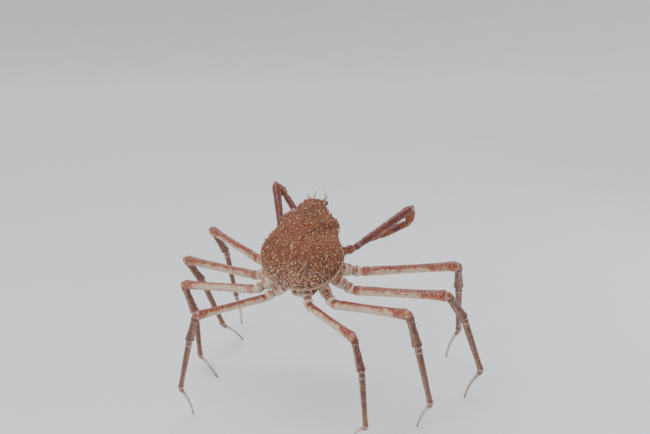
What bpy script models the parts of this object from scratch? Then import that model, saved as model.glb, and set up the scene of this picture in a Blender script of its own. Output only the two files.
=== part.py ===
"""A Japanese spider crab (Macrocheira kaempferi), life-size, standing.

The crab heads along +Y with its right side at +X. The origin is on the floor, under the
middle of the whole animal, and the eight walking legs stand on small flats at z = 0.
The shell is tipped head up, as the animal carries it, with both claws folded.
"""
import math
import random

import bmesh
import bpy
import numpy as np
from mathutils import Matrix, Vector

# Driving sizes, in metres
SHELL_WIDTH = 0.260
SHELL_HEIGHT = 0.082
SHELL_SKIRT = 0.036
SHELL_PLACE = (0.0104, -0.018, 0.485)
HEAD_UP = math.radians(48.5)
TURN_RIGHT = math.radians(1.5)
LEAN_RIGHT = math.radians(-1.5)
BREAST_TILT = math.radians(10.0)
BREAST_DEPTH = 0.048
ORIGIN_SHIFT = Vector((0.0525, 0.0033, 0.0))
GAP = 0.0003
ROOM_GAP = 0.0005
HIP_ROOT = 0.038
SPINE_SINK = 0.35

# Outline of the shell from above, as (across, forward) in shell widths,
# from the middle of the front round the right side to the middle of the back
SHELL_OUTLINE = (
    (0.000, 0.600), (0.042, 0.615), (0.079, 0.600), (0.112, 0.560), (0.153, 0.520),
    (0.200, 0.450), (0.272, 0.400), (0.352, 0.340), (0.325, 0.255), (0.385, 0.140),
    (0.465, 0.010), (0.500, -0.110), (0.487, -0.225), (0.430, -0.340), (0.325, -0.435),
    (0.180, -0.500), (0.000, -0.520),
)
SHELL_MIDDLE_Y = -0.015
SHELL_ROUND = 0.86

# Swellings of the shell: (across, forward, spread, rise), in metres
SHELL_SWELLINGS = (
    (0.000, 0.066, 0.032, 0.007),
    (0.068, -0.030, 0.044, 0.008),
    (-0.068, -0.030, 0.044, 0.008),
    (0.000, -0.038, 0.022, 0.007),
    (0.000, -0.088, 0.020, 0.003),
    (0.030, 0.006, 0.016, -0.003),
    (-0.030, 0.006, 0.016, -0.003),
    (0.074, 0.052, 0.018, -0.004),
    (-0.074, 0.052, 0.018, -0.004),
)

# Longer spines of the right half of the shell, each also on the left:
# (turn from ahead in degrees, climb in degrees, length, outward lean in degrees)
SHELL_SPINES = (
    (50, 3, 0.015, 80), (27, 8, 0.011, 60), (36, 4, 0.008, 70), (63, 2, 0.007, 80),
    (76, 3, 0.008, 75), (88, 4, 0.008, 70), (100, 4, 0.007, 70), (112, 4, 0.007, 70),
    (20, 40, 0.008, 30), (60, 38, 0.007, 30), (110, 40, 0.007, 30), (140, 38, 0.006, 30),
)
HORN_ROOT = (0.013, 0.150, 0.002)
HORN_TIP = (0.037, 0.181, 0.010)
HORN_RADIUS = 0.0062
HORN_SIDES = 7
TUBERCLE_COUNT = 170
TUBERCLE_SEED = 7
TUBERCLE_SPACING = 0.0135
TUBERCLE_HEIGHT = 0.0050
TUBERCLE_RADIUS = 0.0034
TUBERCLE_LOWEST = math.radians(-8.0)
TUBERCLE_LEAN = math.radians(15.0)
RIM_BEADS = 16
RIM_SPREAD = math.radians(60.0)
RIM_BEAD_RADIUS = 0.0032
RIM_BEAD_HEIGHT = 0.0042
SHELL_POINTS_AROUND = 48
SHELL_ROWS_UP = 14

# Levels of the breast: (share of the outline, share of the depth), from the shell down
BREAST_LEVELS = ((0.86, 0.0), (0.88, 0.20), (0.86, 0.50), (0.76, 0.80), (0.60, 1.0))
BREAST_HEAD_NARROWER = 0.10

EYE_PLACE = (0.033, 0.147, 0.006)
EYE_SIZE = (0.0068, 0.0068, 0.0125)
EYE_FACING = (0.55, 0.80, 0.22)
FEELER_PATH = (
    (0.017, 0.130, -0.022), (0.019, 0.152, -0.021), (0.021, 0.168, -0.018),
    (0.018, 0.185, -0.011), (0.012, 0.200, -0.003),
)
FEELER_RADII = (0.0042, 0.0040, 0.0028, 0.0018, 0.0008)

# The apron folded under the body: (forward, height, half width), from the rear to its end
APRON_PATH = (
    (-0.118, -0.030, 0.022), (-0.133, -0.046, 0.025), (-0.132, -0.066, 0.030),
    (-0.112, -0.083, 0.040), (-0.075, -0.093, 0.052), (-0.035, -0.098, 0.052),
    (0.000, -0.101, 0.036), (0.018, -0.101, 0.016),
)
APRON_THICKNESS = 0.013
APRON_SIDES = 16
APRON_EDGE_ROUND = 0.7
MOUTH_PLACE = (0.0, 0.082, -0.087)
MOUTH_TILT = math.radians(32.0)
MOUTH_PLATE = (0.017, 0.036, 0.011)
MOUTH_SPREAD = 0.0135
MOUTH_SPLAY = 0.12
MOUTH_FEELER_ROOT = (0.018, 0.026, 0.014)
MOUTH_FEELER_FACING = (0.25, 0.60, 0.45)
MOUTH_FEELER_RADIUS = 0.0055
MOUTH_FEELER_LENGTH = 0.020

# Where each leg leaves the body, as (across, forward, height) from the point under the shell
HIP_PLACES = {
    0: (0.098, 0.060, 0.451),
    1: (0.130, 0.019, 0.413),
    2: (0.122, -0.014, 0.384),
    3: (0.096, -0.049, 0.365),
    4: (0.051, -0.078, 0.360),
}

# How far the animal holds the hips of its rear right legs inward of that
HIP_SHIFTS = {("right", 3): 0.010, ("right", 4): 0.013}

# Lengths of hip, thigh, wrist, shank and toe of the walking legs, front to back
LEG_LENGTHS = {
    1: (0.048, 0.310, 0.113, 0.212, 0.126),
    2: (0.048, 0.290, 0.108, 0.203, 0.117),
    3: (0.052, 0.270, 0.104, 0.190, 0.110),
    4: (0.052, 0.234, 0.097, 0.173, 0.105),
}
LEG_THICKNESS = {1: 0.0310, 2: 0.0310, 3: 0.0290, 4: 0.0260}
CLAW_LENGTHS = (0.050, 0.240, 0.055, 0.112, 0.078)
CLAW_THICKNESS = 0.026

# The stance: heading and rise in degrees of each length, out from the body.
# Heading 0 is forward and 90 is to the right. The toe has a heading only,
# because it comes down to the floor.
STANCE = {
    ("left", 1): ((-61, -16), (-59, 5), (29, -60), (8, -76), 8),
    ("left", 2): ((-62, -32), (-84, 2), (32, -59), (39, -70), 32),
    ("left", 3): ((-112, -24), (-86, -6), (108, -62), (-25, -75), 117),
    ("left", 4): ((-140, -18), (-149, 3), (-70, -68), (-84, -75), 35),
    ("right", 1): ((67, -10), (65, 1), (0, -58), (1, -68), -62),
    ("right", 2): ((78, -33), (91, 5), (43, -53), (55, -69), -79),
    ("right", 3): ((130, -33), (111, 10), (68, -74), (60, -76), -55),
    ("right", 4): ((153, -22), (129, 0), (116, -72), (48, -85), -44),
}
CLAW_STANCE = {
    "left": ((-22, 6), (-29, 37), (63, -52), (122, -38), (118, -44)),
    "right": ((48, 8), (44, 26), (-45, -76), (-98, -28), (-104, -24)),
}

# Shape of each length along itself: (share of the length, radius as a share of the thickness)
HIP_SHAPE = (
    (0.00, 0.42), (0.20, 0.60), (0.48, 0.66), (0.62, 0.60), (0.70, 0.48), (0.84, 0.58), (1.0, 0.40),
)
THIGH_SHAPE = (
    (0.00, 0.36), (0.04, 0.50), (0.12, 0.49), (0.35, 0.46), (0.65, 0.46), (0.88, 0.50),
    (0.955, 0.56), (1.0, 0.36),
)
WRIST_SHAPE = ((0.00, 0.34), (0.10, 0.42), (0.28, 0.39), (0.62, 0.44), (0.86, 0.49), (1.0, 0.30))
SHANK_SHAPE = (
    (0.00, 0.28), (0.05, 0.38), (0.15, 0.36), (0.50, 0.32), (0.80, 0.29), (0.94, 0.33),
    (1.0, 0.20),
)
TOE_SHAPE = ((0.00, 0.18), (0.07, 0.24), (0.22, 0.20), (0.45, 0.165), (0.70, 0.125), (0.90, 0.095))
TOE_FLAT = 0.0024
TOE_BOW = 0.055

# The same for hip, arm, wrist, palm and finger of the claw arms
CLAW_SHAPES = (
    ((0.00, 0.45), (0.30, 0.60), (0.50, 0.64), (0.66, 0.52), (0.82, 0.58), (1.0, 0.36)),
    ((0.00, 0.34), (0.06, 0.44), (0.20, 0.46), (0.50, 0.50), (0.80, 0.55), (0.93, 0.56),
     (1.0, 0.34)),
    ((0.00, 0.34), (0.24, 0.56), (0.50, 0.63), (0.76, 0.56), (1.0, 0.33)),
    ((0.00, 0.32), (0.10, 0.44), (0.35, 0.46), (0.70, 0.50), (0.92, 0.46), (1.0, 0.34)),
    ((0.00, 0.30), (0.12, 0.34), (0.45, 0.26), (0.80, 0.15), (1.0, 0.05)),
)

# Spines of the claw arms: length of the arm -> rows of (turn round it in degrees, first
# share, last share, count, length). Turn 0 is the arm's right and 90 its top.
CLAW_SPINES = {
    1: ((90, 0.18, 0.90, 7, 0.0055), (10, 0.25, 0.80, 5, 0.0045), (170, 0.25, 0.80, 5, 0.0045)),
    2: ((90, 0.55, 0.85, 2, 0.0070), (0, 0.50, 0.80, 2, 0.0060), (180, 0.50, 0.80, 2, 0.0060)),
    3: ((90, 0.15, 0.80, 4, 0.0045), (0, 0.20, 0.80, 3, 0.0040), (180, 0.20, 0.80, 3, 0.0040)),
}
KNEE_SPINE = (90, 0.93, 0.93, 1, 0.0080)
SPINE_LEAN = 0.45
SPINE_STAGGER = 14.0
SPINE_SHARE = 0.42
SPINE_SIDES = 4

LEG_SIDES = 10
SECTION_SQUASH = 0.92
JOINT_STEP = 0.05
SIDES = {"left": -1.0, "right": 1.0}

COLOURS = {
    "shell": (0.42, 0.10, 0.035),
    "leg": (0.55, 0.16, 0.05),
    "joint": (0.78, 0.62, 0.48),
    "claw": (0.36, 0.07, 0.03),
    "toe": (0.70, 0.60, 0.48),
    "belly": (0.72, 0.60, 0.45),
    "eye": (0.02, 0.015, 0.015),
    "feeler": (0.75, 0.35, 0.25),
}


def clear_scene():
    """Remove what the file holds already."""
    for thing in list(bpy.data.objects):
        bpy.data.objects.remove(thing, do_unlink=True)
    for group in list(bpy.data.collections):
        bpy.data.collections.remove(group)


def new_collection(name):
    """Make a collection in the scene."""
    group = bpy.data.collections.new(name)
    bpy.context.scene.collection.children.link(group)
    return group


def material(name):
    """The material of one kind of surface."""
    found = bpy.data.materials.get(name)
    if found:
        return found
    made = bpy.data.materials.new(name)
    made.use_nodes = True
    shader = made.node_tree.nodes["Principled BSDF"]
    shader.inputs["Base Color"].default_value = (*COLOURS[name], 1.0)
    shader.inputs["Roughness"].default_value = 0.25 if name == "eye" else 0.55
    shader.inputs["Metallic"].default_value = 0.0
    return made


def add_object(name, mesh, kind, group):
    """Put a mesh in a collection as a named object with its material."""
    thing = bpy.data.objects.new(name, mesh)
    mesh.materials.clear()
    mesh.materials.append(material(kind))
    group.objects.link(thing)
    return thing


def mesh_from(shape, name):
    """Turn a bmesh into a mesh with its faces split and pointing out."""
    bmesh.ops.triangulate(shape, faces=shape.faces)
    bmesh.ops.recalc_face_normals(shape, faces=shape.faces)
    mesh = bpy.data.meshes.new(name)
    shape.to_mesh(mesh)
    shape.free()
    mesh.shade_smooth()
    mesh.set_sharp_from_angle(angle=math.radians(50.0))
    return mesh


def loft(name, rings):
    """Skin a row of closed rings of points and cap both ends."""
    shape = bmesh.new()
    rows = [[shape.verts.new(point) for point in ring] for ring in rings]
    for row, following in zip(rows, rows[1:]):
        for place in range(len(row)):
            after = (place + 1) % len(row)
            shape.faces.new((row[place], row[after], following[after], following[place]))
    shape.faces.new(list(reversed(rows[0])))
    shape.faces.new(rows[-1])
    return mesh_from(shape, name)


def heading(degrees, rise):
    """The unit vector at a heading and a rise in degrees."""
    turn = math.radians(degrees)
    up = math.radians(rise)
    return Vector((math.sin(turn) * math.cos(up), math.cos(turn) * math.cos(up), math.sin(up)))


def body_to_world():
    """The matrix that tips the shell and lifts it to its height."""
    turn = Matrix.Rotation(-TURN_RIGHT, 4, "Z")
    tip = Matrix.Rotation(HEAD_UP, 4, "X")
    lean = Matrix.Rotation(LEAN_RIGHT, 4, "Y")
    return Matrix.Translation(Vector(SHELL_PLACE) - ORIGIN_SHIFT) @ turn @ tip @ lean


def leg_points(side, number):
    """The joints of one walking leg, from inside the body to the toe's tip on the floor."""
    across, forward, height = HIP_PLACES[number]
    across -= HIP_SHIFTS.get((side, number), 0.0)
    points = [Vector((SIDES[side] * across, forward, height)) - ORIGIN_SHIFT]
    lengths = LEG_LENGTHS[number]
    stance = STANCE[side, number]
    for length, angles in zip(lengths, stance[:4]):
        points.append(points[-1] + heading(*angles) * length)
    points[0] -= heading(*stance[0]) * HIP_ROOT
    drop = points[-1].z / lengths[4]
    points.append(points[-1] + heading(stance[4], -math.degrees(math.asin(drop))) * lengths[4])
    points[-1].z = 0.0
    return points


def claw_points(side):
    """The joints of one claw arm, from inside the body to the fingers' tip."""
    across, forward, height = HIP_PLACES[0]
    points = [Vector((SIDES[side] * across, forward, height)) - ORIGIN_SHIFT]
    for length, angles in zip(CLAW_LENGTHS, CLAW_STANCE[side]):
        points.append(points[-1] + heading(*angles) * length)
    points[0] -= heading(*CLAW_STANCE[side][0]) * HIP_ROOT
    return points


def ring_at(centre, facing, flat_side, radius, squash=1.0):
    """A ring of points round a centre, square to the way it faces."""
    side = (flat_side - facing * flat_side.dot(facing)).normalized()
    up = side.cross(facing)
    ring = []
    for step in range(LEG_SIDES):
        turn = math.tau * step / LEG_SIDES
        across = side * (radius * squash * math.cos(turn))
        ring.append(centre + across + up * (radius * math.sin(turn)))
    return ring


def keep_behind(ring, joint, facing, along, depth):
    """Slide points back along a limb until they lie a depth behind the plane of a joint."""
    for point in ring:
        beyond = (point - joint).dot(facing) + depth
        if beyond > 0.0:
            point -= along * (beyond / along.dot(facing))


def limb_rings(points, place, shape, thickness, bow=0.0):
    """Rings of one length of a limb, its ends lying in the planes that halve its joints."""
    start, end = points[place], points[place + 1]
    along = (end - start).normalized()
    before = (start - points[place - 1]).normalized() if place else along
    after = (points[place + 2] - end).normalized() if place + 2 < len(points) else along
    facing_start = (before + along).normalized()
    facing_end = (along + after).normalized()
    flat_side = Vector((along.y, -along.x, 0.0)).normalized()
    lift = flat_side.cross(along)
    last = len(shape) - 1
    rings = []
    for step, (share, radius) in enumerate(shape):
        centre = start.lerp(end, share) + lift * (bow * math.sin(math.pi * share))
        facing = {0: facing_start, last: facing_end}.get(step, along)
        ring = ring_at(centre, facing, flat_side, radius * thickness, SECTION_SQUASH)
        reach = JOINT_STEP * thickness
        keep_behind(ring, end, facing_end, along, GAP / 2.0 + reach * (last - step))
        keep_behind(ring, start, -facing_start, -along, GAP / 2.0 + reach * step)
        rings.append(ring)
    return rings


def toe_rings(points, thickness):
    """Rings of a toe, bowed outward, ending in a small flat on the floor."""
    start, end = points[-2], points[-1]
    along = (end - start).normalized()
    facing_start = ((start - points[-3]).normalized() + along).normalized()
    flat_side = Vector((along.y, -along.x, 0.0)).normalized()
    lift = along.cross(flat_side)
    if lift.z < 0.0:
        lift = -lift
    bow = TOE_BOW * (end - start).length
    rings = []
    for step, (share, radius) in enumerate(TOE_SHAPE):
        centre = start.lerp(end, share) + lift * (bow * math.sin(math.pi * share))
        facing = along if step else facing_start
        ring = ring_at(centre, facing, flat_side, radius * thickness, SECTION_SQUASH)
        depth = GAP / 2.0 + JOINT_STEP * thickness * step
        keep_behind(ring, start, -facing_start, -along, depth)
        rings.append(ring)
    flat = ring_at(end, Vector((0.0, 0.0, -1.0)), flat_side, TOE_FLAT)
    for point in flat:
        point.z = 0.0
    rings.append(flat)
    return rings


def outline_radius(turns):
    """Distance from the shell's middle to its outline at each turn from straight ahead."""
    points = np.array(SHELL_OUTLINE) * SHELL_WIDTH
    angles = np.arctan2(points[:, 0], points[:, 1] - SHELL_MIDDLE_Y)
    radii = np.hypot(points[:, 0], points[:, 1] - SHELL_MIDDLE_Y)
    return np.interp(np.abs(turns), angles, radii)


def shell_point(turn, climb):
    """A point of the shell's outside: turn is from straight ahead, climb from rim to top."""
    radius = float(outline_radius(turn))
    across = abs(math.cos(climb)) ** SHELL_ROUND
    rise = math.copysign(abs(math.sin(climb)) ** SHELL_ROUND, climb)
    x = radius * across * math.sin(turn)
    y = SHELL_MIDDLE_Y + radius * across * math.cos(turn)
    z = SHELL_HEIGHT * rise
    for place_x, place_y, spread, lift in SHELL_SWELLINGS:
        far = ((x - place_x) ** 2 + (y - place_y) ** 2) / (2.0 * spread ** 2)
        z += lift * math.exp(-far) * max(0.0, rise)
    return Vector((x, y, z))


def skirt_height(forward):
    """Height of the plane where the shell ends and the breast begins."""
    return -SHELL_SKIRT - math.tan(BREAST_TILT) * forward


def shell_mesh(around, up):
    """The domed shell, down to the flat plane that it shares with the breast."""
    turns = [math.tau * step / around - math.pi for step in range(around)]
    highest = math.radians(88.0)
    lowest = []
    for turn in turns:
        forward = SHELL_MIDDLE_Y + float(outline_radius(turn)) * math.cos(turn)
        share = min(0.95, max(0.02, -skirt_height(0.9 * forward) / SHELL_HEIGHT))
        lowest.append(-math.asin(share ** (1.0 / SHELL_ROUND)))
    rings = []
    for step in range(up):
        share = (step / (up - 1)) ** 0.9
        climbs = [low + (highest - low) * share for low in lowest]
        rings.append([shell_point(turn, climb) for turn, climb in zip(turns, climbs)])
    for point in rings[0]:
        point.z = skirt_height(point.y)
    return loft("shell", rings)


def breast_mesh(around):
    """The breast and flanks under the shell, flat on top and below."""
    turns = [math.tau * step / around - math.pi for step in range(around)]
    rings = []
    for inset, depth in BREAST_LEVELS:
        ring = []
        for turn in turns:
            narrower = 1.0 - BREAST_HEAD_NARROWER * max(0.0, math.cos(turn)) ** 3
            radius = float(outline_radius(turn)) * inset * narrower
            forward = SHELL_MIDDLE_Y + radius * math.cos(turn)
            height = skirt_height(forward) - GAP - BREAST_DEPTH * depth
            ring.append(Vector((radius * math.sin(turn), forward, height)))
        rings.append(ring)
    return loft("breast", list(reversed(rings)))


def grown_copy(source, group, amount):
    """A copy of an object pushed out along its normals, to be cut from a neighbour."""
    mesh = source.data.copy()
    for vertex, normal in zip(mesh.vertices, [v.normal.copy() for v in mesh.vertices]):
        vertex.co += normal * amount
    thing = bpy.data.objects.new("room", mesh)
    thing.matrix_world = source.matrix_world
    thing.hide_render = True
    thing.display_type = "WIRE"
    group.objects.link(thing)


def apply_modifiers(thing):
    """Replace an object's mesh by its evaluated one."""
    bpy.context.view_layer.update()
    graph = bpy.context.evaluated_depsgraph_get()
    mesh = bpy.data.meshes.new_from_object(thing.evaluated_get(graph))
    thing.modifiers.clear()
    thing.data = mesh


def keep_largest(thing):
    """Keep only the largest closed surface of an object."""
    shape = bmesh.new()
    shape.from_mesh(thing.data)
    waiting = set(shape.verts)
    bodies = []
    while waiting:
        body = set()
        front = [next(iter(waiting))]
        while front:
            vertex = front.pop()
            if vertex in body:
                continue
            body.add(vertex)
            front.extend(edge.other_vert(vertex) for edge in vertex.link_edges)
        waiting -= body
        bodies.append(body)
    bodies.sort(key=len, reverse=True)
    for body in bodies[1:]:
        bmesh.ops.delete(shape, geom=list(body), context="VERTS")
    bmesh.ops.triangulate(shape, faces=shape.faces)
    shape.to_mesh(thing.data)
    shape.free()


def spine_object(root, facing, radius, length, sides, group):
    """A pointed spine that grows from a root, sunk in by a share of its length."""
    shape = bmesh.new()
    sink = SPINE_SINK * length
    bmesh.ops.create_cone(shape, cap_ends=True, segments=sides, radius1=radius,
                          radius2=0.0, depth=length + sink)
    turn = facing.to_track_quat("Z", "Y").to_matrix().to_4x4()
    middle = root + facing * (0.5 * (length - sink))
    bmesh.ops.transform(shape, matrix=Matrix.Translation(middle) @ turn, verts=shape.verts)
    thing = bpy.data.objects.new("spine", mesh_from(shape, "spine"))
    group.objects.link(thing)
    return thing


def remove_collection(pieces):
    """Remove a collection with the objects in it."""
    for piece in list(pieces.objects):
        bpy.data.objects.remove(piece, do_unlink=True)
    bpy.data.collections.remove(pieces)


def fuse(thing, pieces):
    """Join the objects of a collection to an object as one closed body."""
    join = thing.modifiers.new("join", "BOOLEAN")
    join.operation = "UNION"
    join.solver = "EXACT"
    join.operand_type = "COLLECTION"
    join.collection = pieces
    apply_modifiers(thing)
    remove_collection(pieces)
    keep_largest(thing)


def shell_normal(turn, climb):
    """The outward direction of the shell's surface."""
    step = 0.02
    across = shell_point(turn + step, climb) - shell_point(turn - step, climb)
    along = shell_point(turn, climb + step) - shell_point(turn, climb - step)
    return along.cross(across).normalized()


def leaned(normal, turn, lean):
    """A direction leaned from the surface's own towards straight out from the middle."""
    outward = Vector((math.sin(turn), math.cos(turn), 0.0))
    return (normal * math.cos(lean) + outward * math.sin(lean)).normalized()


def shell_spines(pieces):
    """The horns, the long spines, the rim's beads and the tubercles of the shell."""
    for side in SIDES.values():
        root = mirrored_x(HORN_ROOT, side)
        horn = mirrored_x(HORN_TIP, side) - root
        spine_object(root, horn.normalized(), HORN_RADIUS, horn.length, HORN_SIDES, pieces)
        for degrees, climb_degrees, length, lean in SHELL_SPINES:
            turn = math.radians(degrees) * side
            climb = math.radians(climb_degrees)
            facing = leaned(shell_normal(turn, climb), turn, math.radians(lean))
            root = shell_point(turn, climb)
            spine_object(root, facing, SPINE_SHARE * length, length, SPINE_SIDES + 1, pieces)
    for count in range(RIM_BEADS):
        turn = math.pi + RIM_SPREAD * (2.0 * count / (RIM_BEADS - 1) - 1.0)
        place = shell_point(turn, 0.0)
        facing = shell_normal(turn, 0.0)
        spine_object(place, facing, RIM_BEAD_RADIUS, RIM_BEAD_HEIGHT, SPINE_SIDES, pieces)
    draw = random.Random(TUBERCLE_SEED)
    taken = []
    while len(taken) < TUBERCLE_COUNT:
        turn = draw.uniform(-math.pi, math.pi)
        climb = math.asin(draw.uniform(math.sin(TUBERCLE_LOWEST), 1.0))
        root = shell_point(turn, climb)
        size = draw.uniform(0.75, 1.25)
        if any((root - other).length < TUBERCLE_SPACING * size for other in taken):
            continue
        taken.append(root)
        facing = leaned(shell_normal(turn, climb), turn, TUBERCLE_LEAN)
        height = TUBERCLE_HEIGHT * size
        spine_object(root, facing, TUBERCLE_RADIUS * size, height, SPINE_SIDES, pieces)


def limb_surface(points, place, shape, thickness, share, turn):
    """A point on the skin of one length of a limb, its outward direction and the limb's own."""
    start, end = points[place], points[place + 1]
    along = (end - start).normalized()
    side = Vector((along.y, -along.x, 0.0)).normalized()
    outward = side * math.cos(turn) + side.cross(along) * math.sin(turn)
    shares, radii = zip(*shape)
    radius = float(np.interp(share, shares, radii)) * thickness
    return start.lerp(end, share) + outward * (0.96 * radius), outward, along


def add_limb_spines(thing, points, place, shape, thickness, rows):
    """Fuse rows of short spines, leaning towards the tip, to one length of a limb."""
    pieces = new_collection("Limb spines")
    for degrees, first, last, count, length in rows:
        for step in range(count):
            share = first + (last - first) * step / max(1, count - 1)
            turn = math.radians(degrees + SPINE_STAGGER * (step % 2))
            root, outward, along = limb_surface(points, place, shape, thickness, share, turn)
            facing = (outward + along * SPINE_LEAN).normalized()
            spine_object(root, facing, SPINE_SHARE * length, length, SPINE_SIDES, pieces)
    fuse(thing, pieces)


def cut_room(thing, neighbours, rooms=None):
    """Cut from an object the room that its neighbours need, with the gap all round."""
    rooms = rooms or new_collection("Rooms")
    for neighbour in neighbours:
        grown_copy(neighbour, rooms, ROOM_GAP)
    cut = thing.modifiers.new("room", "BOOLEAN")
    cut.operation = "DIFFERENCE"
    cut.solver = "EXACT"
    cut.operand_type = "COLLECTION"
    cut.collection = rooms
    apply_modifiers(thing)
    remove_collection(rooms)
    keep_largest(thing)


def build_limbs(group):
    """The eight walking legs and the two claw arms, each length its own object."""
    hips = []
    for side in SIDES:
        for number in LEG_LENGTHS:
            points = leg_points(side, number)
            thickness = LEG_THICKNESS[number]
            shapes = (HIP_SHAPE, THIGH_SHAPE, WRIST_SHAPE, SHANK_SHAPE)
            names = ("hip", "thigh", "wrist", "shank")
            kinds = ("joint", "leg", "leg", "leg")
            for place, (part, shape, kind) in enumerate(zip(names, shapes, kinds)):
                name = f"leg_{side}_{number}_{part}"
                mesh = loft(name, limb_rings(points, place, shape, thickness))
                made = add_object(name, mesh, kind, group)
                if part == "hip":
                    hips.append(made)
                if part == "thigh":
                    add_limb_spines(made, points, place, shape, thickness, (KNEE_SPINE,))
            name = f"leg_{side}_{number}_toe"
            add_object(name, loft(name, toe_rings(points, thickness)), "toe", group)
        points = claw_points(side)
        names = ("hip", "arm", "wrist", "palm", "finger")
        for place, (part, shape) in enumerate(zip(names, CLAW_SHAPES)):
            name = f"claw_{side}_{part}"
            mesh = loft(name, limb_rings(points, place, shape, CLAW_THICKNESS))
            made = add_object(name, mesh, "claw", group)
            if part == "hip":
                hips.append(made)
            if place in CLAW_SPINES:
                add_limb_spines(made, points, place, shape, CLAW_THICKNESS, CLAW_SPINES[place])
    return hips


def mirrored_x(values, side):
    """A place of the right half, or its mirror on the left."""
    return Vector((values[0] * side, values[1], values[2]))


def eye_mesh(side):
    """A stalked eye, a long ball leaning out and forward."""
    shape = bmesh.new()
    bmesh.ops.create_uvsphere(shape, u_segments=12, v_segments=8, radius=1.0)
    bmesh.ops.scale(shape, vec=EYE_SIZE, verts=shape.verts)
    facing = mirrored_x(EYE_FACING, side)
    turn = facing.to_track_quat("Z", "Y").to_matrix().to_4x4()
    place = Matrix.Translation(mirrored_x(EYE_PLACE, side)) @ turn
    bmesh.ops.transform(shape, matrix=place, verts=shape.verts)
    return mesh_from(shape, "eye")


def feeler_mesh(side, group):
    """A feeler: a tapered tube along its path."""
    curve = bpy.data.curves.new("feeler", "CURVE")
    curve.dimensions = "3D"
    curve.bevel_depth = 1.0
    curve.bevel_resolution = 1
    curve.use_fill_caps = True
    spline = curve.splines.new("POLY")
    spline.points.add(len(FEELER_PATH) - 1)
    for point, place, radius in zip(spline.points, FEELER_PATH, FEELER_RADII):
        point.co = (*mirrored_x(place, side), 1.0)
        point.radius = radius
    thing = bpy.data.objects.new("feeler", curve)
    group.objects.link(thing)
    bpy.context.view_layer.update()
    graph = bpy.context.evaluated_depsgraph_get()
    mesh = bpy.data.meshes.new_from_object(thing.evaluated_get(graph))
    bpy.data.objects.remove(thing, do_unlink=True)
    shape = bmesh.new()
    shape.from_mesh(mesh)
    bmesh.ops.remove_doubles(shape, verts=shape.verts, dist=1e-6)
    return mesh_from(shape, "feeler")


def apron_mesh():
    """The apron: a plate that wraps round the rear of the breast and lies under it."""
    rings = []
    path = [Vector((0.0, forward, height)) for forward, height, _ in APRON_PATH]
    for step, (_, _, half_width) in enumerate(APRON_PATH):
        ahead = path[min(step + 1, len(path) - 1)]
        behind = path[max(step - 1, 0)]
        along = (ahead - behind).normalized()
        outward = Vector((0.0, along.z, -along.y))
        ring = []
        for count in range(APRON_SIDES):
            turn = math.tau * count / APRON_SIDES
            across = math.copysign(abs(math.cos(turn)) ** APRON_EDGE_ROUND, math.cos(turn))
            ring.append(path[step] + Vector((half_width * across, 0.0, 0.0))
                        + outward * (0.5 * APRON_THICKNESS * math.sin(turn)))
        rings.append(ring)
    return loft("apron", rings)


def mouth_pieces(pieces, grown=0.0):
    """The paired outer jaw feet, closed like doors over the mouth, and their feelers."""
    size = Vector(MOUTH_PLATE) + Vector((grown, grown, grown))
    for side in SIDES.values():
        shape = bmesh.new()
        bmesh.ops.create_uvsphere(shape, u_segments=12, v_segments=7, radius=1.0)
        bmesh.ops.scale(shape, vec=size, verts=shape.verts)
        tilt = Matrix.Rotation(MOUTH_TILT, 4, "X") @ Matrix.Rotation(MOUTH_SPLAY * side, 4, "Y")
        place = Matrix.Translation(Vector(MOUTH_PLACE) + Vector((side * MOUTH_SPREAD, 0.0, 0.0)))
        bmesh.ops.transform(shape, matrix=place @ tilt, verts=shape.verts)
        pieces.objects.link(bpy.data.objects.new("plate", mesh_from(shape, "plate")))
        root = Vector(MOUTH_PLACE) + mirrored_x(MOUTH_FEELER_ROOT, side)
        facing = mirrored_x(MOUTH_FEELER_FACING, side).normalized()
        length = MOUTH_FEELER_LENGTH + 2.0 * grown
        spine_object(root, facing, MOUTH_FEELER_RADIUS + grown, length, HORN_SIDES, pieces)


def build_mouth(group):
    """The mouth as one body."""
    pieces = new_collection("Mouth pieces")
    mouth_pieces(pieces)
    first = pieces.objects[0]
    thing = add_object("mouth", first.data, "joint", group)
    bpy.data.objects.remove(first, do_unlink=True)
    fuse(thing, pieces)
    return thing


def build_body(group, hips):
    """The shell, breast, apron, mouth, eyes and feelers, each cut clear of its neighbours."""
    shell = add_object("shell", shell_mesh(SHELL_POINTS_AROUND, SHELL_ROWS_UP), "shell", group)
    breast = add_object("breast", breast_mesh(SHELL_POINTS_AROUND), "belly", group)
    apron = add_object("apron", apron_mesh(), "belly", group)
    mouth = build_mouth(group)
    small = []
    for name, side in SIDES.items():
        small.append(add_object(f"eye_{name}", eye_mesh(side), "eye", group))
        small.append(add_object(f"feeler_{name}", feeler_mesh(side, group), "feeler", group))
    pieces = new_collection("Shell pieces")
    shell_spines(pieces)
    fuse(shell, pieces)
    for thing in (shell, breast, apron, mouth, *small):
        thing.matrix_world = body_to_world()
    bpy.context.view_layer.update()
    cut_room(apron, hips)
    cut_room(mouth, hips)
    mouth_room = new_collection("Mouth room")
    mouth_pieces(mouth_room, ROOM_GAP)
    for piece in mouth_room.objects:
        piece.matrix_world = body_to_world()
    cut_room(breast, [*hips, apron, *small], mouth_room)
    cut_room(shell, [*hips, apron, *small])


def main():
    clear_scene()
    group = new_collection("Spider crab")
    hips = build_limbs(group)
    build_body(group, hips)


main()
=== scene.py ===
"""The looks of a life-size Japanese spider crab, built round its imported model.

The crab heads along +Y with its right side at +X, and stands on the floor at z = 0.
Every piece is a surface worked out as whole arrays and placed in the mesh itself.
"""
import math
import random

import bpy
import numpy as np
from mathutils import Matrix, Vector


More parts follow.
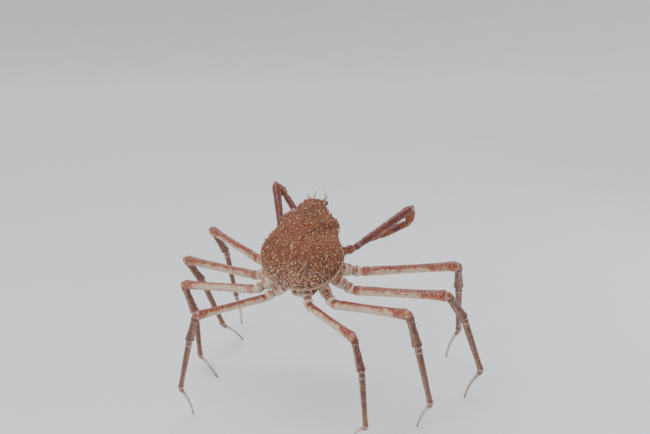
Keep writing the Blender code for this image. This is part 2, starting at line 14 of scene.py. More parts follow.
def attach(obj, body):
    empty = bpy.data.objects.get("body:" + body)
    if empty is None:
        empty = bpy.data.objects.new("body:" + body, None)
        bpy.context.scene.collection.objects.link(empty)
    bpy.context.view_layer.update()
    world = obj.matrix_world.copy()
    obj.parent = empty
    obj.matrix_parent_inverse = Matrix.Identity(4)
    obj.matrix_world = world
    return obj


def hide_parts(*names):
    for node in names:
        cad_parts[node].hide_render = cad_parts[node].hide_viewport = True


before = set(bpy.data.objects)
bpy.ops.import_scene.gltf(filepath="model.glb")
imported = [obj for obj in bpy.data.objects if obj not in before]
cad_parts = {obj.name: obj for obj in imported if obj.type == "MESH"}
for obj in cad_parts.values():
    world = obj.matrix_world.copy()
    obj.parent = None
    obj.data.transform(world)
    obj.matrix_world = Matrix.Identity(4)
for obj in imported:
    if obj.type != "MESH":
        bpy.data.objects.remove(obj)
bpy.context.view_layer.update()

bl_info = {
    "name": "Spider crab",
    "version": (1, 0, 0),
    "blender": (4, 5, 0),
    "location": "3D View > Sidebar > Crab",
    "description": "Builds the shell, limbs, face and finishes of a long-legged spider crab",
    "category": "Add Mesh",
}

SIDES = {"left": -1.0, "right": 1.0}

# The body's place and tilt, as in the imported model
SHELL_PLACE = (0.0104, -0.018, 0.485)
ORIGIN_SHIFT = np.array((0.0525, 0.0033, 0.0))
HEAD_UP = math.radians(48.5)
TURN_RIGHT = math.radians(1.5)
LEAN_RIGHT = math.radians(-1.5)
BREAST_TILT = math.radians(10.0)
BREAST_DEPTH = 0.048
HIP_ROOT = 0.038

# Outline of the shell from above, as (across, forward) in shell widths,
# from the middle of the front round the right side to the middle of the back
SHELL_OUTLINE = (
    (0.000, 0.600), (0.042, 0.615), (0.079, 0.600), (0.112, 0.560), (0.153, 0.520),
    (0.200, 0.450), (0.272, 0.400), (0.352, 0.340), (0.325, 0.255), (0.385, 0.140),
    (0.465, 0.010), (0.500, -0.110), (0.487, -0.225), (0.430, -0.340), (0.325, -0.435),
    (0.180, -0.500), (0.000, -0.520),
)
SHELL_MIDDLE_Y = -0.015
SHELL_SKIRT = 0.036
SHELL_WIDTH = 0.260
SHELL_HEIGHT = 0.082
SHELL_ROUND = 0.86

# Steps in turn and weights of the running mean that eases the outline's corners
OUTLINE_EASING = ((-0.05, 0.15), (-0.025, 0.22), (0.0, 0.26), (0.025, 0.22), (0.05, 0.15))

# Swellings of the middle and right of the shell, the right ones each also on the left:
# (across, forward, spread, rise), in metres
SHELL_SWELLINGS = (
    (0.000, 0.066, 0.032, 0.007), (0.068, -0.030, 0.044, 0.008), (0.000, -0.038, 0.022, 0.007),
    (0.000, -0.088, 0.020, 0.003), (0.030, 0.006, 0.016, -0.003), (0.074, 0.052, 0.018, -0.004),
)

# Furrows between the regions of the right half, as (across, forward), each also on the left
SHELL_FURROWS = (
    ((0.004, -0.006), (0.022, 0.000), (0.040, 0.016), (0.062, 0.040), (0.092, 0.066)),
    ((0.022, 0.000), (0.026, -0.022), (0.024, -0.050), (0.020, -0.070), (0.034, -0.104)),
    ((0.020, -0.068), (0.000, -0.070)),
)
FURROW_DEPTH = 0.0014
FURROW_WIDTH = 0.0048

# Height of the raised rear rim, and depth of the channel before it
RIM_LIFT = 0.0024

# Unevenness of the shell: wavelength, height and seed
SHELL_LUMPS = ((0.030, 0.0011, 3), (0.012, 0.0006, 4))

# Climb at which the small cap on top of the dome begins
SHELL_TOP_CLIMB = math.radians(88.5)

# Longer spines of the right half of the shell, each also on the left:
# (turn from ahead in degrees, climb in degrees, length, outward lean in degrees)
SHELL_SPINES = (
    (50, 3, 0.015, 80), (27, 8, 0.011, 60), (36, 4, 0.008, 70), (63, 2, 0.007, 80),
    (76, 3, 0.008, 75), (88, 4, 0.008, 70), (100, 4, 0.007, 70), (112, 4, 0.007, 70),
    (20, 40, 0.008, 30), (60, 38, 0.007, 30), (110, 40, 0.007, 30), (140, 38, 0.006, 30),
)
HORN_ROOT = (0.013, 0.150, 0.002)
HORN_TIP = (0.037, 0.181, 0.010)
HORN_RADIUS = 0.0062

# Root radius of a long spine as a share of its length
SPINE_PLUMPNESS = 0.42

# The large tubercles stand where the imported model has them
TUBERCLE_COUNT = 170
TUBERCLE_SEED = 7
TUBERCLE_SPACING = 0.0135
TUBERCLE_LOWEST = math.radians(-8.0)
TUBERCLE_LEAN = math.radians(15.0)
TUBERCLE_TINT_SEED = 42

# The small granules, and the short row of them on the midline
GRANULE_LOWEST = math.radians(-38.0)
GRANULE_HIGHEST = math.radians(88.0)
GRANULE_SEED = 41
GOLDEN_ANGLE = 2.399963
MIDLINE_CLIMBS = (math.radians(84.5), math.radians(78.5))

# The right eye: where its cornea sits and faces, and its stalk as steps along that and radii
EYE_PLACE = (0.033, 0.147, 0.006)
EYE_FACING = (0.55, 0.80, 0.22)
EYE_STALK_STEPS = (-0.022, -0.010, -0.002, 0.0030, 0.0045)
EYE_STALK_RADII = (0.0060, 0.0048, 0.0050, 0.0068, 0.0052)

# Short spines of the right brow, each also on the left: (turn, climb) in degrees, length
BROW_SPINES = (
    (4, 2, 0.0050), (8, 14, 0.0045), (10, -4, 0.0060), (15, 18, 0.0050), (19, 6, 0.0060),
    (21, -6, 0.0055), (24, 20, 0.0050), (25, 2, 0.0060), (6, 26, 0.0040), (13, 30, 0.0045),
)

# The right feeler: its path from the root, its radii and its count of rings
FEELER_PATH = (
    (0.017, 0.130, -0.022), (0.019, 0.152, -0.021), (0.021, 0.168, -0.018),
    (0.018, 0.185, -0.011), (0.012, 0.200, -0.003),
)
FEELER_RADII = (0.0042, 0.0040, 0.0028, 0.0018, 0.0008)
FEELER_RINGS = 26

# Levels of the breast: (share of the outline, share of the depth), from the shell down
BREAST_LEVELS = (
    (0.80, -0.05), (0.86, 0.0), (0.88, 0.20), (0.86, 0.50), (0.76, 0.80), (0.60, 1.0),
    (0.30, 1.02), (0.04, 1.03),
)

# The apron folded under the body: (forward, height, half width), from the rear to its end
APRON_PATH = (
    (-0.118, -0.030, 0.022), (-0.133, -0.046, 0.025), (-0.132, -0.066, 0.030),
    (-0.112, -0.083, 0.040), (-0.075, -0.093, 0.052), (-0.035, -0.098, 0.052),
    (0.000, -0.101, 0.036), (0.018, -0.101, 0.016),
)
APRON_THICKNESS = 0.013

# Where its somites meet, as shares of its path
APRON_JOINTS = (0.10, 0.22, 0.34, 0.47, 0.61, 0.76)

# The jaw feet: the place between them, their tilt, half their spacing and how far they stand out
MOUTH_PLACE = (0.0, 0.082, -0.087)
MOUTH_TILT = math.radians(32.0)
MOUTH_SPREAD = 0.0135
MOUTH_PROUD = 0.008

# The colours' labels, what they are on, and their defaults
COLOURS = {
    "shell": ("Shell", "Orange-brown of the shell", (0.38, 0.072, 0.008)),
    "shell_deep": ("Shell, deep", "Brown-red of the shell's darker patches", (0.040, 0.006, 0.003)),
    "cream": ("Cream", "Granules, leg sides and underside", (0.66, 0.50, 0.36)),
    "granule": ("Granule", "Tops of the shell's granules", (0.80, 0.58, 0.34)),
    "leg": ("Leg", "Red line along the legs", (0.20, 0.013, 0.001)),
    "shank": ("Shank", "Brownish orange of the lower legs", (0.105, 0.016, 0.005)),
    "shank_pale": ("Shank, pale", "Paler stripes of the lower legs", (0.30, 0.20, 0.16)),
    "claw": ("Claw", "Dark red of the claw arms", (0.140, 0.010, 0.002)),
    "toe": ("Toe", "Pale horn of the toes", (0.58, 0.42, 0.28)),
    # The tip colour is also the painted shade on the undersides of hips and thighs
    "tip": ("Tip", "Dark horn of the toe and finger tips", (0.060, 0.030, 0.018)),
}

# Added to one and a half times a limb's red for the orange between its red and its cream
ORANGE_SHIFT = (0.100, 0.066, 0.007)

# Where each leg leaves the body: (across, forward, height). 0 is the claw arm.
HIP_PLACES = {
    0: (0.098, 0.060, 0.451),
    1: (0.130, 0.019, 0.413),
    2: (0.122, -0.014, 0.384),
    3: (0.096, -0.049, 0.365),
    4: (0.051, -0.078, 0.360),
}

# How far the animal holds the hips of its rear right legs inward of that
HIP_SHIFTS = {("right", 3): 0.010, ("right", 4): 0.013}

# Lengths from the hip to the toe or finger, and each limb's thickness
LEG_LENGTHS = {
    0: (0.050, 0.240, 0.055, 0.112, 0.078),
    1: (0.048, 0.310, 0.113, 0.212, 0.126),
    2: (0.048, 0.290, 0.108, 0.203, 0.117),
    3: (0.052, 0.270, 0.104, 0.190, 0.110),
    4: (0.052, 0.234, 0.097, 0.173, 0.105),
}
LEG_THICKNESS = {0: 0.0260, 1: 0.0310, 2: 0.0310, 3: 0.0290, 4: 0.0260}

# The stance: heading and rise in degrees of each length, out from the body.
# A toe has a heading only, because it comes down to the floor.
STANCE = {
    ("left", 0): ((-22, 6), (-29, 37), (63, -52), (122, -38), (118, -44)),
    ("left", 1): ((-61, -16), (-59, 5), (29, -60), (8, -76), 8),
    ("left", 2): ((-62, -32), (-84, 2), (32, -59), (39, -70), 32),
    ("left", 3): ((-112, -24), (-86, -6), (108, -62), (-25, -75), 117),
    ("left", 4): ((-140, -18), (-149, 3), (-70, -68), (-84, -75), 35),
    ("right", 0): ((48, 8), (44, 26), (-45, -76), (-98, -28), (-104, -24)),
    ("right", 1): ((67, -10), (65, 1), (0, -58), (1, -68), -62),
    ("right", 2): ((78, -33), (91, 5), (43, -53), (55, -69), -79),
    ("right", 3): ((130, -33), (111, 10), (68, -74), (60, -76), -55),
    ("right", 4): ((153, -22), (129, 0), (116, -72), (48, -85), -44),
}

# Shape of each length along itself: (share of the length, radius as a share of the thickness)
HIP_SHAPE = (
    (0.00, 0.42), (0.10, 0.52), (0.20, 0.60), (0.36, 0.67), (0.50, 0.66), (0.58, 0.61),
    (0.64, 0.54), (0.69, 0.46), (0.73, 0.50), (0.79, 0.58), (0.86, 0.60), (0.93, 0.54),
    (1.00, 0.42),
)
THIGH_SHAPE = (
    (0.00, 0.36), (0.02, 0.46), (0.045, 0.51), (0.07, 0.515), (0.10, 0.475), (0.14, 0.49),
    (0.35, 0.46), (0.65, 0.46), (0.84, 0.485), (0.92, 0.53), (0.952, 0.575), (0.968, 0.565),
    (0.980, 0.49), (1.00, 0.40),
)
WRIST_SHAPE = (
    (0.00, 0.37), (0.05, 0.41), (0.11, 0.44), (0.17, 0.415), (0.24, 0.39), (0.45, 0.405),
    (0.70, 0.445), (0.86, 0.495), (0.915, 0.515), (0.935, 0.46), (1.00, 0.36),
)
SHANK_SHAPE = (
    (0.00, 0.30), (0.03, 0.36), (0.065, 0.385), (0.10, 0.36), (0.20, 0.35), (0.50, 0.32),
    (0.80, 0.29), (0.90, 0.305), (0.95, 0.345), (0.970, 0.33), (1.00, 0.235),
)
TOE_SHAPE = (
    (0.00, 0.20), (0.04, 0.25), (0.09, 0.255), (0.14, 0.215), (0.22, 0.20), (0.45, 0.165),
    (0.70, 0.125), (0.90, 0.092), (1.00, 0.070),
)

# Bow of a toe as a share of its length
TOE_BOW = 0.055

# The place of a toe or finger among a limb's lengths, counted from the hip as 0
TOE_PLACE = 4

# Width of a limb's section as a share of its depth
SECTION_SQUASH = 0.94

# Half width of the limb at each knuckle, as a share of its thickness, for each joint
KNUCKLE_SIZES = {2: 0.36, 3: 0.33, 4: 0.22}

# The claw arm's shapes, read as those above
CLAW_SHAPES = (
    ((0.00, 0.45), (0.30, 0.60), (0.50, 0.64), (0.62, 0.56), (0.69, 0.48), (0.76, 0.54),
     (0.86, 0.57), (1.00, 0.38)),
    ((0.00, 0.34), (0.03, 0.42), (0.07, 0.46), (0.11, 0.43), (0.20, 0.46), (0.50, 0.50),
     (0.80, 0.55), (0.93, 0.57), (0.965, 0.53), (1.00, 0.38)),
    ((0.00, 0.36), (0.14, 0.46), (0.30, 0.57), (0.55, 0.64), (0.80, 0.57), (0.90, 0.48),
     (1.00, 0.36)),
    ((0.00, 0.33), (0.06, 0.42), (0.14, 0.45), (0.35, 0.47), (0.70, 0.51), (0.92, 0.48),
     (1.00, 0.36)),
)

# Spines of the claw arm's lengths, in rows of (turn round it in degrees, first and last share
# of the length, count, spine length), and their lean towards the tip
CLAW_SPINES = {
    1: ((90, 0.18, 0.90, 7, 0.0055), (10, 0.25, 0.80, 5, 0.0045), (170, 0.25, 0.80, 5, 0.0045)),
    2: ((90, 0.55, 0.85, 2, 0.0070), (0, 0.50, 0.80, 2, 0.0060), (180, 0.50, 0.80, 2, 0.0060)),
    3: ((90, 0.15, 0.80, 4, 0.0045), (0, 0.20, 0.80, 3, 0.0040), (180, 0.20, 0.80, 3, 0.0040)),
}
SPINE_LEAN = 0.45

# Radius of a finger along itself: shares of its length, and shares of the claw's thickness
FINGER_RADII = ((0.0, 0.1, 0.4, 0.8, 1.0), (0.15, 0.185, 0.145, 0.085, 0.04))

# Names of the lengths of a walking leg and of a claw arm, and the walking legs' numbers
PART_NAMES = ("hip", "thigh", "wrist", "shank", "toe")
CLAW_NAMES = ("hip", "arm", "wrist", "palm", "finger")
WALKING_LEGS = (1, 2, 3, 4)

# Small granules of the walking legs: how many on a length, seed of their draws, radius,
# spread round the top in radians, and the lengths that have them, counted from the hip
LEG_DOT_COUNT = 90
LEG_DOT_SEED = 61
LEG_DOT_RADIUS = 0.00085
LEG_DOT_SPREAD = 0.85
LEG_DOT_PLACES = (1, 2, 3)

# Profiles of small grown shapes: (share of the radius, share of the height), root first
BEAD_PROFILE = ((0.90, -0.60), (1.00, 0.00), (0.80, 0.55), (0.42, 0.90))
SPIKE_PROFILE = ((1.00, -0.40), (0.90, 0.00), (0.56, 0.40), (0.26, 0.78))
TUBERCLE_PROFILE = ((1.00, -0.40), (0.98, 0.00), (0.74, 0.42), (0.40, 0.78))

# The stage: a floor that is flat round the crab and rises far off, a wide overhead light,
# soft lights as (name, place, aim, size, power, colour), the sky and the camera
FLOOR_REACH = 30.0
FLOOR_FLAT = 14.0
FLOOR_RISE = 18.0
FLOOR_POINTS = 61
OVERHEAD_POWER = 2.1
OVERHEAD_SPREAD = math.radians(55.0)
OVERHEAD_TURN = (math.radians(-8.0), math.radians(-14.0), 0.0)
SOFT_LIGHTS = (
    ("Camera side", (-0.9, -2.4, 2.5), (0.0, 0.0, 0.35), 1.1, 40.0, (1.0, 0.97, 0.93)),
    ("Far side", (2.4, 1.5, 1.8), (0.0, 0.0, 0.4), 1.4, 26.0, (0.93, 0.96, 1.0)),
)
SKY_COLOUR = (0.86, 0.89, 0.93, 1.0)
SKY_STRENGTH = 0.32
CAMERA_PLACE = (0.5855, -1.6553, 1.099)
CAMERA_TURN = (math.radians(73.5), 0.0, math.radians(19.0))
CAMERA_LENS = 33.5
CAMERA_SENSOR = 36.0


# Arrays and shapes

def smooth_curve(knots, values, at):
    """Values between knots by cubic Hermite pieces whose slopes are the knots' own gradient."""
    knots = np.asarray(knots, float)
    values = np.asarray(values, float)
    flat = values.ndim == 1
    values = values.reshape(len(knots), -1)
    slopes = np.gradient(values, knots, axis=0)
    place = np.clip(np.searchsorted(knots, at, side="right") - 1, 0, len(knots) - 2)
    step = (knots[place + 1] - knots[place])[:, None]
    share = np.clip((at - knots[place])[:, None] / step, 0.0, 1.0)
    low = values[place] * (1 + 2 * share) * (1 - share) ** 2
    low = low + slopes[place] * step * share * (1 - share) ** 2
    high = values[place + 1] * share ** 2 * (3 - 2 * share)
    high = high + slopes[place + 1] * step * share ** 2 * (share - 1)
    found = low + high
    return found[:, 0] if flat else found


def unit(vectors):
    """Vectors scaled to length one."""
    return vectors / np.maximum(np.linalg.norm(vectors, axis=-1, keepdims=True), 1e-12)


def turns_round(count):
    """Evenly spaced turns of a whole circle."""
    return math.tau * np.arange(count) / count


def ramp(values, low, high):
    """0 below low, 1 above high, and a smooth step between."""
    share = np.clip((values - low) / (high - low), 0.0, 1.0)
    return share * share * (3.0 - 2.0 * share)


def near(values, place, width):
    """1 at a place and falling to 0 beside it: e to the power of -(distance / width) squared."""
    return np.exp(-((values - place) / width) ** 2)


def wobble(points, size, seed, waves=9):
    """Smooth unevenness of about -1 to 1: a sum of sine waves of one wavelength, each in a
    direction and phase drawn from the seed."""
    draw = np.random.default_rng(seed)
    ways = unit(draw.normal(size=(waves, 3))) * (math.tau / size)
    ways = ways * draw.uniform(0.7, 1.4, (waves, 1))
    phases = draw.uniform(0.0, math.tau, waves)
    return np.sin(points @ ways.T + phases).sum(axis=-1) / math.sqrt(waves)


def moved(points, matrix):
    """Points carried by a 4 x 4 matrix."""
    values = np.array(matrix)
    return points @ values[:3, :3].T + values[:3, 3]


def mirrored(places, side):
    """Places of the right half, or of the left half where the side is -1."""
    return np.array(places) * (side, 1.0, 1.0)


def lumpy(rows, centres, lumps):
    """Rings whose points move out from their ring's centre by a share of their radius."""
    return centres[:, None] + (rows - centres[:, None]) * (1.0 + lumps[..., None])


def skin(rows, marks=None):
    """A closed surface from rings: rows is (rings, points round, 3). A pole closes each end,
    and marks are values for each point, which the poles take as a mean of their ring."""
    rings, around = rows.shape[:2]
    count = rings * around
    points = np.concatenate([rows.reshape(-1, 3), rows[0].mean(0)[None], rows[-1].mean(0)[None]])
    here = np.arange(count).reshape(rings, around)
    after = np.roll(here, -1, axis=1)
    quads = np.stack([here[:-1], after[:-1], after[1:], here[1:]], axis=-1).reshape(-1, 4)
    pole = np.full(around, count)
    tris = np.concatenate([np.stack([after[0], here[0], pole], axis=-1),
                           np.stack([here[-1], after[-1], pole + 1], axis=-1)])
    left, along, low = np.arange(around) / around, np.linspace(0.0, 1.0, rings), np.zeros(around)
    right, middle, high = left + 1.0 / around, left + 0.5 / around, low + 1.0
    tri_uv = np.concatenate([np.stack([right, low, left, low, middle, low], axis=-1),
                             np.stack([left, high, right, high, middle, high], axis=-1)])
    left, low = np.meshgrid(left, along[:-1])
    right, high = left + 1.0 / around, np.broadcast_to(along[1:, None], left.shape)
    quad_uv = np.stack([left, low, right, low, right, high, left, high], axis=-1)
    faces = [quads, tris, quad_uv.reshape(-1, 4, 2), tri_uv.reshape(-1, 3, 2)]
    a, b, c, d = np.moveaxis(points[quads] - points.mean(0), 1, 0)
    if (a * np.cross(b, c) + a * np.cross(c, d)).sum() < 0.0:
        faces = [each[:, ::-1] for each in faces]
    made = dict(zip(("quads", "tris", "quad_uv", "tri_uv"), faces), points=points, marks={})
    for name, values in (marks or {}).items():
        values = np.broadcast_to(values, (rings, around))
        made["marks"][name] = np.concatenate([values.ravel(), [values[0].mean(), values[-1].mean()]])
    return made


def carried(centres, side, up, sizes, around):
    """Rings of a tube: centre + size * (side * cos of the turn + up * sin of the turn)."""
    turns = turns_round(around)
    ring = side[..., None, :] * np.cos(turns)[:, None] + up[..., None, :] * np.sin(turns)[:, None]
    return centres[:, None] + ring * sizes[:, None, None]


def grown(roots, facings, radii, heights, profile, sides, tints):
    """Many small closed shapes as one: a profile turned round each facing at each root. A
    point is root + facing * height + (cos and sin of its turn) * radius in the plane across."""
    facings = unit(np.asarray(facings, float))
    other = np.where(np.abs(facings[:, 2:]) < 0.8, (0.0, 0.0, 1.0), (1.0, 0.0, 0.0))
    first = unit(np.cross(other, facings))
    second = np.cross(facings, first)
    shares, turns = np.array(profile), turns_round(sides)
    pattern = skin(np.stack([np.outer(shares[:, 0], np.cos(turns)),
                             np.outer(shares[:, 0], np.sin(turns)),
                             np.repeat(shares[:, 1:], sides, axis=1)], axis=-1))
    shape = pattern["points"]
    shape[-1, 2] = 1.0
    count, size = len(roots), len(shape)
    radii, heights = (np.broadcast_to(each, count)[:, None, None] for each in (radii, heights))
    points = (roots[:, None] + first[:, None] * shape[:, :1] * radii
              + second[:, None] * shape[:, 1:2] * radii + facings[:, None] * shape[:, 2:] * heights)
    shift = (np.arange(count) * size)[:, None, None]
    tip = np.broadcast_to(np.clip(shape[:, 2], 0.0, 1.0), (count, size))
    tint = np.broadcast_to(np.asarray(tints, float).reshape(-1, 1), (count, size))
    made = {"points": points.reshape(-1, 3), "marks": {"tip": tip.ravel(), "tint": tint.ravel()}}
    for faces, corners in (("quads", 4), ("tris", 3)):
        made[faces] = (pattern[faces][None] + shift).reshape(-1, corners)
    for spread in ("quad_uv", "tri_uv"):
        made[spread] = np.tile(pattern[spread], (count, 1, 1))
    return made


def placed(name, data, place=(0.0, 0.0, 0.0), turns=(0.0, 0.0, 0.0)):
    """A new object in the scene, at a place and turned about X, Y and Z."""
    thing = bpy.data.objects.new(name, data)
    thing.location = place
    thing.rotation_euler = turns
    bpy.context.scene.collection.objects.link(thing)
    return thing


def add_piece(name, patches, horn, slot, nodes=()):
    """One object from closed patches, with its UV map, its marks and its finish, riding on
    the crab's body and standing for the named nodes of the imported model."""
    starts = np.cumsum([0] + [len(patch["points"]) for patch in patches])
    faces = []
    for key in ("quads", "tris"):
        for patch, start in zip(patches, starts):
            faces += (patch[key] + start).tolist()
    mesh = bpy.data.meshes.new(name)
    mesh.from_pydata(np.concatenate([patch["points"] for patch in patches]), [], faces)
    spread = [patch[key].ravel() for key in ("quad_uv", "tri_uv") for patch in patches]
    layer = mesh.uv_layers.new(name="UVMap")
    layer.data.foreach_set("uv", np.concatenate(spread).astype(np.float32))
    for key in sorted({key for patch in patches for key in patch["marks"]}):
        values = [patch["marks"].get(key, np.zeros(len(patch["points"]))) for patch in patches]
        attribute = mesh.attributes.new(key, "FLOAT", "POINT")
        attribute.data.foreach_set("value", np.concatenate(values).astype(np.float32))
    mesh.shade_smooth()
    mesh.materials.append(horn)
    thing = placed(name, mesh)
    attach(thing, "root")
    if nodes:
        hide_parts(*nodes)


# Finishes

def node(tree, kind, sockets=None, **settings):
    """Add a shader node with settings, and values or links for its sockets."""
    made = tree.nodes.new(kind)
    made.location = (180.0 * (len(tree.nodes) % 12), -260.0 * (len(tree.nodes) // 12))
    for key, value in settings.items():
        setattr(made, key, value)
    for key, value in (sockets or {}).items():
        if isinstance(value, bpy.types.NodeSocket):
            tree.links.new(value, made.inputs[key])
        else:
            made.inputs[key].default_value = value
    return made


def mixed(tree, factor, first, second):
    """Blend two colours by a factor."""
    return node(tree, "ShaderNodeMix", {0: factor, 6: first, 7: second}, data_type="RGBA").outputs[2]


def maths(tree, operation, first, second=0.0, third=0.0):
    """One sum on values."""
    made = node(tree, "ShaderNodeMath", {0: first, 1: second, 2: third}, operation=operation)
    return made.outputs[0]


def stretched(tree, value, low, high, to_low=0.0, to_high=1.0):
    """A value stretched from one range to another and held inside it, smoothly."""
    sockets = {"Value": value, "From Min": low, "From Max": high, "To Min": to_low, "To Max": to_high}
    made = node(tree, "ShaderNodeMapRange", sockets, interpolation_type="SMOOTHSTEP")
    return made.outputs["Result"]


def mark(tree, name):
    """A value that the mesh carries for each point."""
    return node(tree, "ShaderNodeAttribute", attribute_name=name).outputs["Fac"]


def new_group(name, inputs, outputs):
    """A shader node group with float inputs, with their defaults, and float outputs."""
    tree = bpy.data.node_groups.new(name, "ShaderNodeTree")
    for label, default in inputs.items():
        socket = tree.interface.new_socket(label, in_out="INPUT", socket_type="NodeSocketFloat")
        socket.default_value = default
    for label in outputs:
        tree.interface.new_socket(label, in_out="OUTPUT", socket_type="NodeSocketFloat")
    return tree, node(tree, "NodeGroupInput"), node(tree, "NodeGroupOutput")


def granule_group():
    """Round granules of one spacing: a cell pattern whose middles stand up as pale dots."""
    tree, start, end = new_group("Granules", {"Scale": 300.0, "Size": 0.34}, ("Mask", "Height"))
    place = node(tree, "ShaderNodeTexCoord").outputs["Object"]
    cells = node(tree, "ShaderNodeTexVoronoi", {"Vector": place, "Scale": start.outputs["Scale"]})
    inner = maths(tree, "MULTIPLY", start.outputs["Size"], 0.45)
    spots = stretched(tree, cells.outputs["Distance"], inner, start.outputs["Size"], 1.0, 0.0)
    tree.links.new(spots, end.inputs["Mask"])
    domes = stretched(tree, cells.outputs["Distance"], 0.0, start.outputs["Size"], 1.0, 0.0)
    tree.links.new(domes, end.inputs["Height"])
    return tree


def mottle_group():
    """Cloudy patches: noise stretched to a mask."""
    inputs = {"Scale": 60.0, "Low": 0.42, "High": 0.60, "Detail": 4.0}
    tree, start, end = new_group("Mottle", inputs, ("Mask",))
    place = node(tree, "ShaderNodeTexCoord").outputs["Object"]
    cloud = node(tree, "ShaderNodeTexNoise", {"Vector": place, "Scale": start.outputs["Scale"],
                                              "Detail": start.outputs["Detail"]})
    patches = stretched(tree, cloud.outputs["Fac"], start.outputs["Low"], start.outputs["High"])
    tree.links.new(patches, end.inputs["Mask"])
    return tree


def streak_group():
    """Fine uneven bars across a limb: noise on coordinates that run fast along the limb and
    slowly round it."""
    tree, start, end = new_group("Streaks", {"Scale": 420.0, "Low": 0.45, "High": 0.65}, ("Mask",))
    along = maths(tree, "MULTIPLY", mark(tree, "along"), start.outputs["Scale"])
    place = node(tree, "ShaderNodeCombineXYZ", {"X": mark(tree, "top"), "Y": mark(tree, "side"),
                                                "Z": along})
    bars = node(tree, "ShaderNodeTexNoise", {"Vector": place.outputs[0], "Scale": 1.6, "Detail": 3.0})
    mask = stretched(tree, bars.outputs["Fac"], start.outputs["Low"], start.outputs["High"])
    tree.links.new(mask, end.inputs["Mask"])
    return tree


def use_group(tree, name, maker, **values):
    """Place a shared node group, built the first time it is asked for."""
    group = bpy.data.node_groups.get(name) or maker()
    made = node(tree, "ShaderNodeGroup", node_tree=group)
    for key, value in values.items():
        made.inputs[key].default_value = value
    return made


def mottle(tree, scale, low, high, detail=4.0):
    """The mask of cloudy patches at a scale."""
    made = use_group(tree, "Mottle", mottle_group, Scale=scale, Low=low, High=high, Detail=detail)
    return made.outputs["Mask"]


def dots(tree, scale, size):
    """The mask and the height of round granules at a scale."""
    made = use_group(tree, "Granules", granule_group, Scale=scale, Size=size)
    return made.outputs["Mask"], made.outputs["Height"]


def new_finish(name):
    """An empty material: its node tree and its main shader."""
    material = bpy.data.materials.new(name)
    material.use_nodes = True
    return material, material.node_tree, material.node_tree.nodes["Principled BSDF"]


def opaque(colour, share=1.0, lift=0.0):
    """A colour times a share plus a lift, with full alpha."""
    return (*(share * value + lift for value in colour), 1.0)


def between(first, second, share):
    """A colour between two, with full alpha: the first's share, and the rest of the second."""
    return opaque([share * a + (1.0 - share) * b for a, b in zip(first, second)])


def covered(tree, colour, mask, weight, cover):
    """A colour covered by another where a mask is high, up to a weight."""
    return mixed(tree, maths(tree, "MULTIPLY", mask, weight), colour, cover)


def bumped(tree, shader, heights, distance):
    """Feed a sum of weighted heights to the shader's normal."""
    total = 0.0
    for value, weight in heights:
        total = maths(tree, "MULTIPLY_ADD", value, weight, total)
    bump = node(tree, "ShaderNodeBump", {"Height": total, "Distance": distance, "Strength": 1.0})
    tree.links.new(bump.outputs["Normal"], shader.inputs["Normal"])


def dressed(tree, shader, colour, mask, gloss, heights, distance):
    """Give a shader its colour, a roughness of mask * gloss[0] + gloss[1], and its bump."""
    tree.links.new(colour, shader.inputs["Base Color"])
    rough = maths(tree, "MULTIPLY_ADD", mask, *gloss)
    tree.links.new(rough, shader.inputs["Roughness"])
    bumped(tree, shader, heights, distance)


def limb_finish(name, cream, red, dark, speckles, streaks, roughness):
    """Horn of a limb: cream sides with fine bars and specks, red where the red mark is high,
    whitish rings where the pale mark is, dark horn where the dark mark is; on the undersides of
    hips and thighs that dark mark is painted shade."""
    material, tree, shader = new_finish(name)
    patches = mottle(tree, 55.0, 0.40, 0.62)
    fine = mottle(tree, 240.0, 0.44, 0.60, 5.0)
    bars = use_group(tree, "Streaks", streak_group, Scale=200.0).outputs["Mask"]
    specks, domes = dots(tree, 210.0, 0.34)
    uneven = maths(tree, "MULTIPLY_ADD", patches, 0.22, mark(tree, "red"))
    uneven = maths(tree, "MULTIPLY_ADD", fine, 0.20, uneven)
    orange = opaque([1.5 * a + b for a, b in zip(red, ORANGE_SHIFT)])
    colour = mixed(tree, stretched(tree, uneven, 0.26, 0.62), opaque(cream), orange)
    colour = mixed(tree, stretched(tree, uneven, 0.60, 1.00), colour, opaque(red))
    colour = covered(tree, colour, bars, streaks, between(red, cream, 0.55))
    colour = covered(tree, colour, specks, speckles, opaque(cream, 0.35, 0.50))
    colour = mixed(tree, mark(tree, "pale"), colour, opaque(cream, 0.35, 0.56))
    # The dark mark: dark horn at the tips, painted shade on the undersides of hips and thighs
    colour = mixed(tree, mark(tree, "dark"), colour, opaque(dark))
    shader.inputs["Coat Weight"].default_value = 0.30
    shader.inputs["Coat Roughness"].default_value = 0.20
    dressed(tree, shader, colour, fine, (0.14, roughness - 0.05),
            ((domes, 0.7), (bars, 0.35), (fine, 0.30)), 0.0007)
    return material


